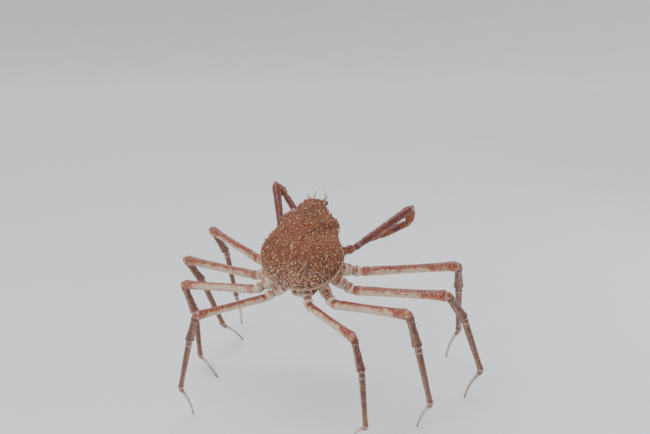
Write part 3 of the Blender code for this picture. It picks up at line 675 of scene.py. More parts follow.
def shell_finish(name, red, deep, cream):
    """The shell's horn: orange to brown-red patches, cream granules, dark pits between them,
    painted shade in the furrows and the rear channel where the dark mark is, and whiter where
    the pale mark is high."""
    material, tree, shader = new_finish(name)
    broad = mottle(tree, 26.0, 0.38, 0.62)
    patches = mottle(tree, 110.0, 0.42, 0.60)
    fine = mottle(tree, 420.0, 0.42, 0.60, 5.0)
    large, large_domes = dots(tree, 190.0, 0.36)
    small, small_domes = dots(tree, 430.0, 0.42)
    colour = mixed(tree, maths(tree, "MULTIPLY_ADD", broad, 0.45, 0.35), opaque(red), opaque(deep))
    colour = covered(tree, colour, patches, 0.18, between(red, cream, 0.6))
    colour = covered(tree, colour, fine, 0.65, opaque(deep, 0.45))
    # Painted shade: darker in the furrows and the rear channel, from the dark mark
    colour = covered(tree, colour, mark(tree, "dark"), 0.75, opaque(deep, 0.40))
    whiter = maths(tree, "MULTIPLY_ADD", broad, -0.25, mark(tree, "pale"))
    colour = mixed(tree, stretched(tree, whiter, 0.15, 1.0, 0.0, 0.65), colour,
                   between(cream, red, 0.75))
    colour = covered(tree, colour, small, 0.40, between(cream, red, 0.55))
    colour = covered(tree, colour, large, 0.35, between(cream, red, 0.55))
    dressed(tree, shader, colour, fine, (0.16, 0.48),
            ((large_domes, 1.0), (small_domes, 0.5), (fine, -0.25)), 0.0012)
    return material


def granule_finish(name, root, tip):
    """Small grown shapes: the root's colour below, darkened to painted shade at the very base, and the
    tip's above, each a little its own.
    """
    material, tree, shader = new_finish(name)
    fine = mottle(tree, 500.0, 0.35, 0.65)
    height = stretched(tree, mark(tree, "tip"), 0.10, 0.80)
    own = maths(tree, "MULTIPLY", height, mark(tree, "tint"))
    # Painted shade: the lowest part of each shape is darkened to three tenths of the root's colour
    lower = stretched(tree, mark(tree, "tip"), 0.0, 0.55)
    colour = mixed(tree, lower, opaque(root, 0.30), opaque(root))
    colour = mixed(tree, own, colour, opaque(tip))
    whiter = maths(tree, "MULTIPLY", stretched(tree, mark(tree, "tint"), 0.70, 1.0), height)
    colour = covered(tree, colour, whiter, 0.62, opaque(tip, 0.4, 0.5))
    colour = covered(tree, colour, fine, 0.30, opaque(root, 0.6))
    dressed(tree, shader, colour, fine, (0.15, 0.42), ((fine, 1.0),), 0.0003)
    return material


def eye_finish(name):
    """The cornea: near black, wet and faintly faceted."""
    material, tree, shader = new_finish(name)
    facets = dots(tree, 2600.0, 0.60)[1]
    colour = mixed(tree, facets, (0.006, 0.004, 0.004, 1.0), (0.035, 0.018, 0.014, 1.0))
    tree.links.new(colour, shader.inputs["Base Color"])
    shader.inputs["Roughness"].default_value = 0.16
    shader.inputs["Coat Weight"].default_value = 0.8
    shader.inputs["Coat Roughness"].default_value = 0.06
    bumped(tree, shader, ((facets, 1.0),), 0.00006)
    return material


def floor_finish():
    """The stage's pale floor, with barely visible unevenness."""
    material, tree, shader = new_finish("Stage floor")
    cloud = mottle(tree, 1.5, 0.2, 0.8)
    colour = mixed(tree, cloud, (0.80, 0.81, 0.83, 1.0), (0.83, 0.84, 0.86, 1.0))
    tree.links.new(colour, shader.inputs["Base Color"])
    shader.inputs["Roughness"].default_value = 0.8
    return material


# Finishes of the small grown shapes: colours of their roots and of their tips
GRANULE_FINISHES = {
    "Shell granules": ("shell", "granule"), "Claw spines": ("claw", "leg"),
    "Leg granules": ("leg", "cream"), "Knuckles": ("leg", "cream"),
}

# Horn of the limbs and belly: colours of its sides and of its line, then the strength of its
# specks and of its bars, and its roughness
HORN_FINISHES = {
    "Leg horn": ("cream", "leg", 0.45, 0.60, 0.42),
    "Shank horn": ("shank_pale", "shank", 0.40, 0.60, 0.42),
    "Hip horn": ("cream", "leg", 0.35, 0.45, 0.42),
    "Toe horn": ("toe", "shank", 0.20, 0.35, 0.38),
    "Claw horn": ("shank", "claw", 0.35, 0.15, 0.42),
    "Belly horn": ("cream", "shank", 0.45, 0.0, 0.42),
    "Feeler horn": ("cream", "leg", 0.20, 0.60, 0.42),
}


def finish(name):
    """The named finish, built the first time it is asked for."""
    found = bpy.data.materials.get(name)
    if found:
        return found
    hues = {key: tuple(getattr(bpy.context.scene.crab_colours, key)) for key in COLOURS}
    if name == "Cornea":
        return eye_finish(name)
    if name == "Shell horn":
        return shell_finish(name, hues["shell"], hues["shell_deep"], hues["cream"])
    if name in GRANULE_FINISHES:
        return granule_finish(name, *(hues[key] for key in GRANULE_FINISHES[name]))
    sides, line, specks, streaks, roughness = HORN_FINISHES[name]
    return limb_finish(name, hues[sides], hues[line], hues["tip"], specks, streaks, roughness)


# The body

def body_matrix():
    """The matrix that tips the shell and lifts it to its height."""
    turn = Matrix.Rotation(-TURN_RIGHT, 4, "Z")
    tip = Matrix.Rotation(HEAD_UP, 4, "X")
    lean = Matrix.Rotation(LEAN_RIGHT, 4, "Y")
    return Matrix.Translation(Vector(np.array(SHELL_PLACE) - ORIGIN_SHIFT)) @ turn @ tip @ lean


def body_skin(rows, marks):
    """A closed surface from rings given in the shell's own frame."""
    return skin(moved(rows, body_matrix()), marks)


def outline_radius(turns):
    """Distance from the shell's middle to its outline: the outline's points joined in polar
    coordinates, with the corners eased by a short running mean."""
    across, forward = (np.array(SHELL_OUTLINE) * bpy.context.scene.crab_sizes.shell_width).T
    angles = np.arctan2(across, forward - SHELL_MIDDLE_Y)
    radii = np.hypot(across, forward - SHELL_MIDDLE_Y)
    eased = 0.0
    for step, weight in OUTLINE_EASING:
        wrapped = np.abs((np.asarray(turns) + step + math.pi) % math.tau - math.pi)
        eased = eased + weight * np.interp(wrapped, angles, radii)
    return eased


def shell_base(turns, climbs):
    """The smooth dome: across = radius * cos(climb) ^ 0.86, height = shell height *
    sin(climb) ^ 0.86, plus a round swelling for each region."""
    radius = outline_radius(turns)
    across = np.abs(np.cos(climbs)) ** SHELL_ROUND
    rise = np.sign(climbs) * np.abs(np.sin(climbs)) ** SHELL_ROUND
    x = radius * across * np.sin(turns)
    y = SHELL_MIDDLE_Y + radius * across * np.cos(turns)
    z = bpy.context.scene.crab_sizes.shell_height * rise
    for place_x, place_y, spread, lift in SHELL_SWELLINGS:
        for middle_x in (place_x, -place_x) if place_x else (0.0,):
            far = ((x - middle_x) ** 2 + (y - place_y) ** 2) / (2.0 * spread ** 2)
            z = z + lift * np.exp(-far) * np.maximum(0.0, rise)
    return np.stack([x, y, z], axis=-1)


def shell_facing(turns, climbs):
    """The outward direction of the dome, from its slopes along turn and climb."""
    step = 0.02
    across = shell_base(turns + step, climbs) - shell_base(turns - step, climbs)
    along = shell_base(turns, climbs + step) - shell_base(turns, climbs - step)
    return unit(np.cross(along, across))


def leaned_facing(turns, climbs, lean):
    """The dome's outward direction, leaned away from the shell's middle by an angle."""
    lean = np.broadcast_to(lean, turns.shape)[:, None]
    outward = np.stack([np.sin(turns), np.cos(turns), np.zeros_like(turns)], axis=-1)
    return unit(shell_facing(turns, climbs) * np.cos(lean) + outward * np.sin(lean))


def furrow_closeness(points):
    """1 on the lines between the shell's regions and falling to 0 beside them."""
    flat = np.stack([np.abs(points[..., 0]), points[..., 1]], axis=-1)
    nearest = np.full(flat.shape[:-1], 1.0)
    for line in SHELL_FURROWS:
        for start, end in zip(np.array(line[:-1]), np.array(line[1:])):
            way = end - start
            share = np.clip(((flat - start) @ way) / (way @ way), 0.0, 1.0)
            far = np.linalg.norm(flat - start - share[..., None] * way, axis=-1)
            nearest = np.minimum(nearest, far)
    return near(nearest, 0.0, FURROW_WIDTH)


def rear_share(turns):
    """0 on the shell's front and sides, rising to 1 round its rear."""
    wrapped = np.abs((turns + math.pi) % math.tau - math.pi)
    return ramp(wrapped, math.radians(82.0), math.radians(120.0))


def shell_skin(turns, climbs):
    """The shell's outside: the dome, with furrows, a raised rear rim over a channel, and
    lumps, all added along the dome's own outward direction. Its dark mark is painted shade
    in the furrows and in the channel before the rim."""
    points = shell_base(turns, climbs)
    upper = ramp(climbs, math.radians(2.0), math.radians(12.0))
    furrows = furrow_closeness(points) * upper
    rear = rear_share(turns)
    rim = near(climbs, math.radians(1.0), math.radians(3.6))
    channel = near(climbs, math.radians(10.5), math.radians(4.5))
    lift = -FURROW_DEPTH * furrows + rear * RIM_LIFT * (rim - channel)
    for size, height, seed in SHELL_LUMPS:
        lift = lift + height * wobble(points, size, seed) * upper
    # The dark mark is painted shade in the furrows and in the rear channel before the rim
    dark = np.clip(furrows * 0.55 + rear * channel * 0.9, 0.0, 1.0)
    pale = np.clip(rear * rim + 0.25 * ramp(-points[..., 1], 0.050, 0.125), 0.0, 1.0)
    return points + shell_facing(turns, climbs) * lift[..., None], dark, pale


def skirt_height(forward):
    """Height of the plane where the shell ends and the breast begins."""
    return -SHELL_SKIRT - math.tan(BREAST_TILT) * forward


def shell_patch():
    """Rings of the shell's outside from the skirt's plane to the top, in steps of climb that
    shrink a little towards the top."""
    around, up = 288, 130
    turns = turns_round(around) - math.pi
    height = bpy.context.scene.crab_sizes.shell_height
    forward = SHELL_MIDDLE_Y + outline_radius(turns) * np.cos(turns)
    share = np.clip(-skirt_height(0.9 * forward) / height, 0.02, 0.95)
    lowest = -np.arcsin(share ** (1.0 / SHELL_ROUND))
    climbs = lowest + (SHELL_TOP_CLIMB - lowest) * np.linspace(0.0, 1.0, up)[:, None] ** 0.9
    points, dark, pale = shell_skin(np.broadcast_to(turns, climbs.shape), climbs)
    points[0, :, 2] = skirt_height(points[0, :, 1])
    under = points[0] * (0.90, 0.90, 1.0)
    under[:, 2] = skirt_height(under[:, 1])
    dark, pale = (np.concatenate([values[:1], values]) for values in (dark, pale))
    return body_skin(np.concatenate([under[None], points]), {"dark": dark, "pale": pale})


def even_climbs(count):
    """Climbs of evenly spread points: equal steps of the dome's area, summed ring by ring."""
    climbs = np.linspace(GRANULE_LOWEST, GRANULE_HIGHEST, 400)
    points = shell_base(np.linspace(-math.pi, math.pi, 97)[None], climbs[:, None])
    across = np.linalg.norm(np.diff(points, axis=1), axis=-1).sum(axis=1)
    along = np.linalg.norm(np.diff(points, axis=0), axis=-1).mean(axis=1)
    area = np.concatenate([[0.0], np.cumsum(0.5 * (across[1:] + across[:-1]) * along)])
    return np.interp((np.arange(count) + 0.5) / count * area[-1], area, climbs)


def shell_dots(turns, climbs, radii, heights, lean, tints, profile, sides):
    """Small shapes grown on the shell at turns and climbs, leaned outward by an angle."""
    roots, _, _ = shell_skin(turns, climbs)
    facing = leaned_facing(turns, climbs, lean)
    patch = grown(roots, facing, radii, heights, profile, sides, tints)
    patch["points"] = moved(patch["points"], body_matrix())
    return patch


def tubercle_places():
    """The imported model's large tubercles: turns, climbs and sizes, drawn in the same order."""
    draw = random.Random(TUBERCLE_SEED)
    found, taken = [], np.zeros((0, 3))
    while len(found) < TUBERCLE_COUNT:
        turn = draw.uniform(-math.pi, math.pi)
        climb = math.asin(draw.uniform(math.sin(TUBERCLE_LOWEST), 1.0))
        size = draw.uniform(0.75, 1.25)
        root = shell_base(np.array([turn]), np.array([climb]))
        if len(taken) and np.linalg.norm(taken - root, axis=1).min() < TUBERCLE_SPACING * size:
            continue
        taken = np.concatenate([taken, root])
        found.append((turn, climb, size))
    return np.array(found).T


def small_granules(draw):
    """The small granules, sown over the dome by the golden angle and shifted a little, with
    some larger ones among them. They shrink down the flanks and whiten towards the rear."""
    sizes = bpy.context.scene.crab_sizes
    count = sizes.granule_count
    turns = (np.arange(count) * GOLDEN_ANGLE + draw.normal(0.0, 0.05, count)) % math.tau - math.pi
    climbs = even_climbs(count) + draw.normal(0.0, 0.006, count)
    climbs = np.clip(climbs, GRANULE_LOWEST, GRANULE_HIGHEST)
    places = shell_base(turns, climbs)
    kept = places[:, 2] > skirt_height(places[:, 1]) + 0.0012
    turns, climbs, places = turns[kept], climbs[kept], places[kept]
    count = len(turns)
    grain = draw.uniform(0.60, 1.20, count) * (1.0 + 0.35 * (draw.uniform(0.0, 1.0, count) > 0.90))
    grain = grain * (1.0 - 0.35 * ramp(-climbs, 0.10, 0.45))
    rear = ramp(-places[:, 1], 0.055, 0.125)
    tints = np.clip(0.08 + 0.85 * draw.uniform(0.0, 1.0, count) ** 2.5 + 0.55 * rear, 0.0, 1.0)
    radii = sizes.granule_radius * grain * (1.0 + 0.15 * rear)
    return shell_dots(turns, climbs, radii, radii * 0.85, 0.10, tints, BEAD_PROFILE[1:], 5)


def large_granules():
    """A short row of granules on the shell's midline, and the tubercles."""
    climbs = np.linspace(*MIDLINE_CLIMBS, 7)
    row = shell_dots(np.full(7, math.pi), climbs, 0.0019, 0.0018, 0.0, 1.0, BEAD_PROFILE[1:], 8)
    turns, climbs, grain = tubercle_places()
    tints = np.random.default_rng(TUBERCLE_TINT_SEED).uniform(0.6, 1.0, len(turns))
    return [row, shell_dots(turns, climbs, 0.0031 * grain, 0.0050 * grain, TUBERCLE_LEAN, tints,
                            TUBERCLE_PROFILE, 10)]


def rim_bead_patch(draw):
    """A row of beads along the raised rear rim."""
    turns = np.radians(np.linspace(98.0, 262.0, 96))
    radii = 0.0026 * draw.uniform(0.7, 1.2, len(turns))
    climbs = np.full(len(turns), math.radians(1.5))
    tints = draw.uniform(0.90, 1.0, len(turns))
    return shell_dots(turns, climbs, radii, radii * 0.9, 0.0, tints, BEAD_PROFILE, 9)


def spike_rows(root, tip, radius, bow, around=18, rings=26):
    """A bowed, tapering spike, slightly lumpy near the root: centres on a shallow arc from
    root to tip, and a radius of the root's * (1 - share of the way) ^ 0.8."""
    root, tip, bow = (np.asarray(value, float) for value in (root, tip, bow))
    along = unit(tip - root)
    side = unit(np.cross(along, (0.0, 0.0, 1.0) if abs(along[2]) < 0.9 else (1.0, 0.0, 0.0)))
    shares = np.linspace(-0.18, 1.0, rings)
    held = np.clip(shares, 0.0, 1.0)[:, None]
    centres = root + (tip - root) * shares[:, None] + bow * np.sin(math.pi * held)
    sizes = radius * (1.0 - np.clip(shares, 0.0, 0.985)) ** 0.8
    rows = carried(centres, side, np.cross(side, along), sizes, around)
    rows = lumpy(rows, centres, 0.10 * wobble(rows, 0.008, 11) * (1.0 - held))
    return rows, np.broadcast_to(held, rows.shape[:2])


def shell_spine_patches():
    """The long spines of the shell's rim and the two horns between the eyes."""
    patches = []
    degrees, climbs, lengths, leans = np.array(SHELL_SPINES).T
    climbs, leans = np.radians(climbs), np.radians(leans)
    for side in SIDES.values():
        turns = np.radians(degrees) * side
        roots, _, _ = shell_skin(turns, climbs)
        for root, way, length in zip(roots, leaned_facing(turns, climbs, leans), lengths):
            rows, tip = spike_rows(root, root + way * length, SPINE_PLUMPNESS * length,
                                   (0.0, 0.0, 0.06 * length), 14, 16)
            patches.append(body_skin(rows, {"tip": tip, "tint": 0.9}))
        rows, tip = spike_rows(mirrored(HORN_ROOT, side), mirrored(HORN_TIP, side), HORN_RADIUS,
                               (0.0022 * side, 0.0, 0.0), 24, 40)
        patches.append(body_skin(rows, {"tip": tip, "tint": 0.75}))
    return patches


def brow_spine_patches():
    """The short pale spines round each eye's socket and along the brow."""
    patches = []
    for side in SIDES.values():
        for degrees, climb, length in BROW_SPINES:
            turns, climbs = np.radians([degrees]) * side, np.radians([climb])
            root = shell_skin(turns, climbs)[0][0]
            facing = unit(shell_facing(turns, climbs)[0] + (0.0, 0.9, 0.2))
            rows, tip = spike_rows(root, root + facing * length, 0.34 * length,
                                   (0.0006 * side, 0.0, 0.0), 12, 16)
            patches.append(body_skin(rows, {"tip": tip, "tint": 1.0}))
    return patches


def breast_patch():
    """The breast under the shell: the outline shrunk level by level down to a gently domed
    sternum, with furrows running out between the hips."""
    around, up = 192, 90
    turns = turns_round(around) - math.pi
    levels = np.array(BREAST_LEVELS)
    steps = np.hypot(*np.diff(levels * (0.5 * SHELL_WIDTH, BREAST_DEPTH), axis=0).T)
    ways = np.cumsum([0.0] + list(steps))
    found = smooth_curve(ways / ways[-1], levels, np.linspace(0.0, 1.0, up))
    inset, depth = found[:, 0, None], found[:, 1, None]
    radius = outline_radius(turns) * inset * (1.0 - 0.10 * np.maximum(0.0, np.cos(turns)) ** 3)
    forward = SHELL_MIDDLE_Y + radius * np.cos(turns)
    height = skirt_height(forward) - BREAST_DEPTH * depth
    back = body_matrix().inverted()
    hips = [back @ Vector(np.array(place) - ORIGIN_SHIFT) for place in HIP_PLACES.values()]
    hips = np.array([abs(math.atan2(hip.x, hip.y - SHELL_MIDDLE_Y)) for hip in hips])
    gap = np.min(np.abs(np.abs(turns)[:, None] - 0.5 * (hips[:-1] + hips[1:])), axis=1)
    furrow = near(gap, 0.0, 0.045)[None] * ramp(depth, 0.02, 0.3) * ramp(inset, 0.05, 0.35)
    middle = near(radius * np.sin(turns), 0.0, 0.004) * ramp(depth, 0.9, 1.0)
    points = np.stack([radius * np.sin(turns), forward, height + 0.0020 * middle], axis=-1)
    points[..., :2] *= 1.0 - 0.035 * furrow[..., None]
    points[..., 2] += 0.0016 * furrow * ramp(depth, 0.7, 1.0)
    points = points + 0.0006 * wobble(points, 0.020, 21)[..., None]
    red = np.clip(0.62 * ramp(-depth, -0.5, 0.0) + 0.16 * wobble(points, 0.03, 22), 0.0, 1.0)
    marks = {"red": red, "dark": 0.45 * furrow, "pale": 0.3 * ramp(depth, 0.7, 1.0)}
    return body_skin(points, marks)


def apron_patch():
    """The apron: a thick plate along its path, each somite domed, with a furrow between them
    and a low ridge down the middle."""
    around, rings = 64, 150
    shares = np.linspace(0.0, 1.0, rings)
    found = smooth_curve(np.linspace(0.0, 1.0, len(APRON_PATH)), APRON_PATH, shares)
    centres = np.stack([np.zeros(rings), found[:, 0], found[:, 1]], axis=-1)
    along = unit(np.gradient(centres, axis=0))
    outward = np.stack([np.zeros(rings), along[:, 2], -along[:, 1]], axis=-1)
    furrow = near(np.min(np.abs(shares[:, None] - np.array(APRON_JOINTS)), axis=1), 0.0, 0.011)
    closing = np.sqrt(np.clip(np.minimum(shares / 0.03, (1.0 - shares) / 0.05), 0.0, 1.0))
    half = found[:, 2] * (1.0 - 0.06 * furrow) * (0.10 + 0.90 * closing)
    turns = turns_round(around)
    above = np.maximum(np.sin(turns), 0.0)
    across = np.sign(np.cos(turns)) * np.abs(np.cos(turns)) ** 0.7
    ridge = near(across, 0.0, 0.16) * above
    thick = 0.5 * APRON_THICKNESS * (0.25 + 0.75 * closing)
    lift = thick[:, None] * (np.sin(turns) + 0.16 * ridge) - 0.0022 * furrow[:, None] * above
    rows = centres[:, None] + outward[:, None] * lift[..., None]
    rows[..., 0] += half[:, None] * across
    rows = rows + 0.0004 * wobble(rows, 0.016, 31)[..., None]
    red = np.clip(0.45 - 0.5 * shares[:, None] + 0.15 * wobble(rows, 0.05, 32), 0.0, 1.0)
    return body_skin(rows, {"red": red, "dark": 0.55 * furrow[:, None], "pale": 0.5 * ridge[None]})


def lump_rows(centre, sizes, matrix, power=0.8, crease=(0.0, 0.0)):
    """A rounded block: a ball whose sines and cosines are raised to a power and scaled, with
    a crease across it, given as its place along the block and its depth."""
    around, rings = 40, 28
    turns = turns_round(around)
    climbs = np.linspace(-0.5, 0.5, rings) * math.pi * 0.985
    level = np.sign(np.sin(climbs)) * np.abs(np.sin(climbs)) ** power
    ring = np.abs(np.cos(climbs)) ** power
    rows = np.stack([ring[:, None] * np.cos(turns), ring[:, None] * np.sin(turns),
                     np.broadcast_to(level[:, None], (rings, around))], axis=-1)
    place, depth = crease
    close = near(level, place, 0.06)[:, None]
    rows = rows * (1.0 - depth * close[..., None]) * np.array(sizes)
    return moved(rows, matrix) + np.array(centre), 0.6 * close * (depth > 0.0)


def mouth_patches():
    """The outer jaw feet: two long plates closed like doors, each creased where its two
    joints meet, with a slim plate beside it, a bent palp at its front edge and a small feeler."""
    patches = []
    for side in SIDES.values():
        tilt = Matrix.Rotation(MOUTH_TILT, 4, "X") @ Matrix.Rotation(0.12 * side, 4, "Y")
        stand = tilt @ Matrix.Rotation(math.radians(-90.0), 4, "X")
        tilt = tilt.to_3x3()
        centre = np.array(MOUTH_PLACE) + (side * MOUTH_SPREAD, 0.0, 0.0)
        centre = centre + np.array(tilt @ Vector((0.0, 0.0, -MOUTH_PROUD)))
        rows, dark = lump_rows(centre, (0.0128, 0.0110, 0.0350), stand, crease=(0.30, 0.14))
        patches.append(body_skin(rows, {"dark": dark, "red": 0.30, "pale": 0.15}))
        beside = centre + np.array(tilt @ Vector((side * 0.0135, -0.004, 0.001)))
        rows, dark = lump_rows(beside, (0.0042, 0.0060, 0.0300), stand)
        patches.append(body_skin(rows, {"dark": dark, "red": 0.6}))
        front = centre + np.array(tilt @ Vector((-side * 0.004, 0.030, -0.004)))
        rows, tip = spike_rows(front, front + (side * -0.006, 0.004, -0.018), 0.0040,
                               (0.0, 0.004, 0.0))
        patches.append(body_skin(rows, {"red": 0.5, "dark": 0.5 * tip}))
        root = np.array(MOUTH_PLACE) + (side * 0.018, 0.026, 0.014)
        rows, tip = spike_rows(root, root + np.array((side * 0.0063, 0.0150, 0.0113)), 0.0055,
                               (0.0, 0.0, 0.001))
        patches.append(body_skin(rows, {"red": 0.4 + 0.4 * tip, "dark": 0.0}))
    return patches


def tube_rows(path, radii, around, rings, ridge=0.0):
    """A round tube through a path's points, its radius rippled by the ridge into short rings."""
    knots, shares = np.linspace(0.0, 1.0, len(path)), np.linspace(0.0, 1.0, rings)
    centres = smooth_curve(knots, path, shares)
    along = unit(np.gradient(centres, axis=0))
    side = unit(np.cross(along, (1.0, 0.0, 0.0)))
    sizes = smooth_curve(knots, radii, shares)
    sizes = sizes * (1.0 + ridge * np.cos(math.tau * FEELER_RINGS * shares))
    sizes[[0, -1]] *= 0.35
    return carried(centres, side, np.cross(side, along), sizes, around), shares[:, None]


# Limbs

def heading(degrees, rise):
    """The unit vector at a heading and a rise in degrees."""
    turn, up = math.radians(degrees), math.radians(rise)
    return np.array((math.sin(turn) * math.cos(up), math.cos(turn) * math.cos(up), math.sin(up)))


def limb_points(side, number):
    """The joints of one limb, from inside the body to its tip. A walking toe ends on the floor."""
    across, forward, height = HIP_PLACES[number]
    across -= HIP_SHIFTS.get((side, number), 0.0)
    points = [np.array((SIDES[side] * across, forward, height)) - ORIGIN_SHIFT]
    lengths, stance = LEG_LENGTHS[number], STANCE[side, number]
    for length, angles in zip(lengths[:-1], stance[:-1]):
        points.append(points[-1] + heading(*angles) * length)
    points[0] = points[0] - heading(*stance[0]) * HIP_ROOT
    if number == 0:
        points.append(points[-1] + heading(*stance[-1]) * lengths[-1])
        return points
    drop = math.degrees(math.asin(points[-1][2] / lengths[-1]))
    points.append(points[-1] + heading(stance[-1], -drop) * lengths[-1])
    points[-1][2] = 0.0
    return points


def limbs(numbers):
    """The limbs of the given numbers, left side first: side, number, joints and thickness."""
    for side in SIDES:
        for number in numbers:
            yield side, number, limb_points(side, number), LEG_THICKNESS[number]


def radius_along(shape, thickness, share):
    """Radius at shares of a length: its profile times the limb's thickness."""
    knots, sizes = np.array(shape).T
    return smooth_curve(knots, sizes * thickness, share)


def limb_frame(points, place):
    """A length's start, end and its along, side and outer directions. Outer faces away from
    the inside of the limb's knee."""
    start, end = points[place], points[place + 1]
    along = unit(end - start)
    outer = unit(unit(points[2] - points[1]) - unit(points[3] - points[2]))
    outer = unit(outer - along * (outer @ along))
    return start, end, along, np.cross(along, outer), outer


def length_patch(points, place, shape, thickness, marks, rings, bow, seed):
    """One length of a limb: a profile carried from joint to joint, closed by a half ball
    round each joint, slightly flattened, with low lumps. Radius = thickness * profile. A toe
    bows upward."""
    around = 36
    start, end, along, side, outer = limb_frame(points, place)
    size = np.linalg.norm(end - start)
    closing = np.linspace(0.06, 1.0, 8)[:-1] * 0.5 * math.pi
    first, last = shape[0][1] * thickness, shape[-1][1] * thickness
    shares = np.linspace(0.0, 1.0, rings)
    shares = shares - 0.045 * np.sin(math.tau * shares)
    spans = np.concatenate([-first * np.cos(closing), shares * size,
                            size + last * np.cos(closing)[::-1]])
    sizes = np.concatenate([first * np.sin(closing), radius_along(shape, thickness, shares),
                            last * np.sin(closing)[::-1]])
    shares = np.clip(spans / size, 0.0, 1.0)[:, None]
    lift = outer if place < TOE_PLACE else unit(np.cross(along, np.cross((0.0, 0.0, 1.0), along)))
    centres = start + along * spans[:, None] + lift * bow * np.sin(math.pi * shares)
    rows = carried(centres, SECTION_SQUASH * side, outer, sizes, around)
    rows = lumpy(rows, centres, 0.020 * wobble(rows, 0.026, seed)
                 + 0.010 * wobble(rows, 0.009, seed + 1))
    turns = turns_round(around)[None]
    values = marks(shares, np.sin(turns), wobble(rows, 0.05, seed + 2))
    values.update(top=np.sin(turns), side=np.cos(turns), along=spans[:, None])
    return rows, {key: np.clip(value, -1.0, 1.0) for key, value in values.items()}


def hip_marks(share, top, cloud):
    """Hips: whitish, with thin orange folds on top, a dark groove at the ring and painted shade along
    the underside.
    """
    folds = near(share, 0.34, 0.035) + near(share, 0.56, 0.03) + near(share, 0.80, 0.03)
    return {"red": 0.03 + 0.20 * ramp(top + 0.6 * cloud, 0.1, 1.1)
            + 0.36 * folds * ramp(top, -0.2, 0.6),
            "pale": 0.55 * near(share, 0.90, 0.04) + 0.45 * near(share, 0.45, 0.05),
            "dark": 0.80 * near(share, 0.69, 0.030) + 0.45 * near(share, 0.25, 0.02)
            # painted shade along the underside
            + 0.40 * ramp(-top, 0.30, 0.90)}


def thigh_marks(share, top, cloud):
    """Thighs: a red line along the top, orange ends, pale rims and painted shade along the underside.
    """
    ends = 1.5 * ramp(share + 0.05 * cloud, 0.66, 0.95) + ramp(-share, -0.11, -0.04)
    return {"red": 0.26 * ramp(top + 0.12 * cloud, 0.20, 0.85)
            + 0.75 * ramp(top + 0.04 * cloud, 0.82, 0.96) + 0.30 * ends + 0.02,
            "pale": 0.25 * near(share, 0.988, 0.007) + 0.25 * near(share, 0.10, 0.009),
            # The dark mark is painted shade along the underside
            "dark": 0.50 * ramp(-top, 0.30, 0.85)}


def wrist_marks(share, top, cloud):
    """Wrists: red above, paler below, with a pale ring near the far end."""
    return {"red": 0.80 - 0.60 * near(top + 0.10 * cloud, 0.10, 0.30) * ramp(share, 0.08, 0.25),
            "pale": 0.45 * near(share, 0.950, 0.012) + 0.15 * near(share, 0.17, 0.02),
            "dark": 0.0}


def shank_marks(share, top, cloud):
    """Shanks: brownish orange with paler sides and a pale knob at the far end."""
    return {"red": 0.74 - 0.50 * near(top + 0.10 * cloud, 0.10, 0.30) - 0.15 * ramp(share, 0.4, 1.0),
            "pale": 0.55 * near(share, 0.960, 0.014) + 0.30 * near(share, 0.065, 0.015),
            "dark": 0.0}


def toe_marks(share, top, cloud):
    """Toes: pale horn, dark at the tip, orange at the root."""
    return {"red": 0.50 * ramp(-share, -0.22, 0.0) + 0.25 * ramp(top, 0.3, 1.0) + 0.1 * cloud,
            "pale": 0.45 * near(share, 0.4, 0.25), "dark": ramp(share + 0.02 * cloud, 0.84, 0.96)}


def claw_marks(share, top, cloud):
    """Claw arms: dark red, lighter below, with pale rims at the joints."""
    return {"red": 0.54 + 0.36 * ramp(top + 0.6 * cloud, -0.6, 0.6),
            "pale": 0.35 * near(share, 0.985, 0.010) + 0.20 * near(share, 0.08, 0.02),
            "dark": 0.20 * ramp(cloud, 0.2, 1.0)}


# The lengths of a walking leg: shape, marks, finish, slot and count of rings
LEG_STYLES = (
    (HIP_SHAPE, hip_marks, "Hip horn", "joint", 70),
    (THIGH_SHAPE, thigh_marks, "Leg horn", "leg", 170),
    (WRIST_SHAPE, wrist_marks, "Shank horn", "leg", 100),
    (SHANK_SHAPE, shank_marks, "Shank horn", "shank", 130),
    (TOE_SHAPE, toe_marks, "Toe horn", "toe", 100),
)


def knuckle_patch():
    """Two low pale knobs at each joint from the knee outward, where hinge pins would be."""
    roots, facings, radii = [], [], []
    for _, _, points, thickness in limbs(HIP_PLACES):
        for place, size in KNUCKLE_SIZES.items():
            before = unit(points[place] - points[place - 1])
            hinge = unit(np.cross(before, unit(points[place + 1] - points[place])))
            for way in (-1.0, 1.0):
                roots.append(points[place] + hinge * (way * size * thickness * 0.88))
                facings.append(hinge * way)
                radii.append(0.32 * size * thickness)
    radii = np.array(radii)
    return grown(np.array(roots), facings, radii, radii * 0.75, BEAD_PROFILE, 16, 1.0)


def leg_dot_patches():
    """Small granules scattered over the lengths of the walking legs, thicker on top."""
    draw = np.random.default_rng(LEG_DOT_SEED)
    patches = []
    for _, _, points, thickness in limbs(WALKING_LEGS):
        for place in LEG_DOT_PLACES:
            start, end, along, across, outer = limb_frame(points, place)
            share = draw.uniform(0.04, 0.97, LEG_DOT_COUNT)
            turn = draw.normal(0.5 * math.pi, LEG_DOT_SPREAD, LEG_DOT_COUNT)[:, None]
            size = radius_along(LEG_STYLES[place][0], thickness, share)[:, None]
            facing = across * (SECTION_SQUASH * np.cos(turn)) + outer * np.sin(turn)
            root = start + (end - start) * share[:, None] + facing * size * 0.99
            grain = LEG_DOT_RADIUS * draw.uniform(0.6, 1.3, LEG_DOT_COUNT)
            patches.append(grown(root, facing + 0.3 * along, grain, grain * 0.8, BEAD_PROFILE[1:],
                                 5, draw.uniform(0.2, 1.0, LEG_DOT_COUNT)))
    return patches


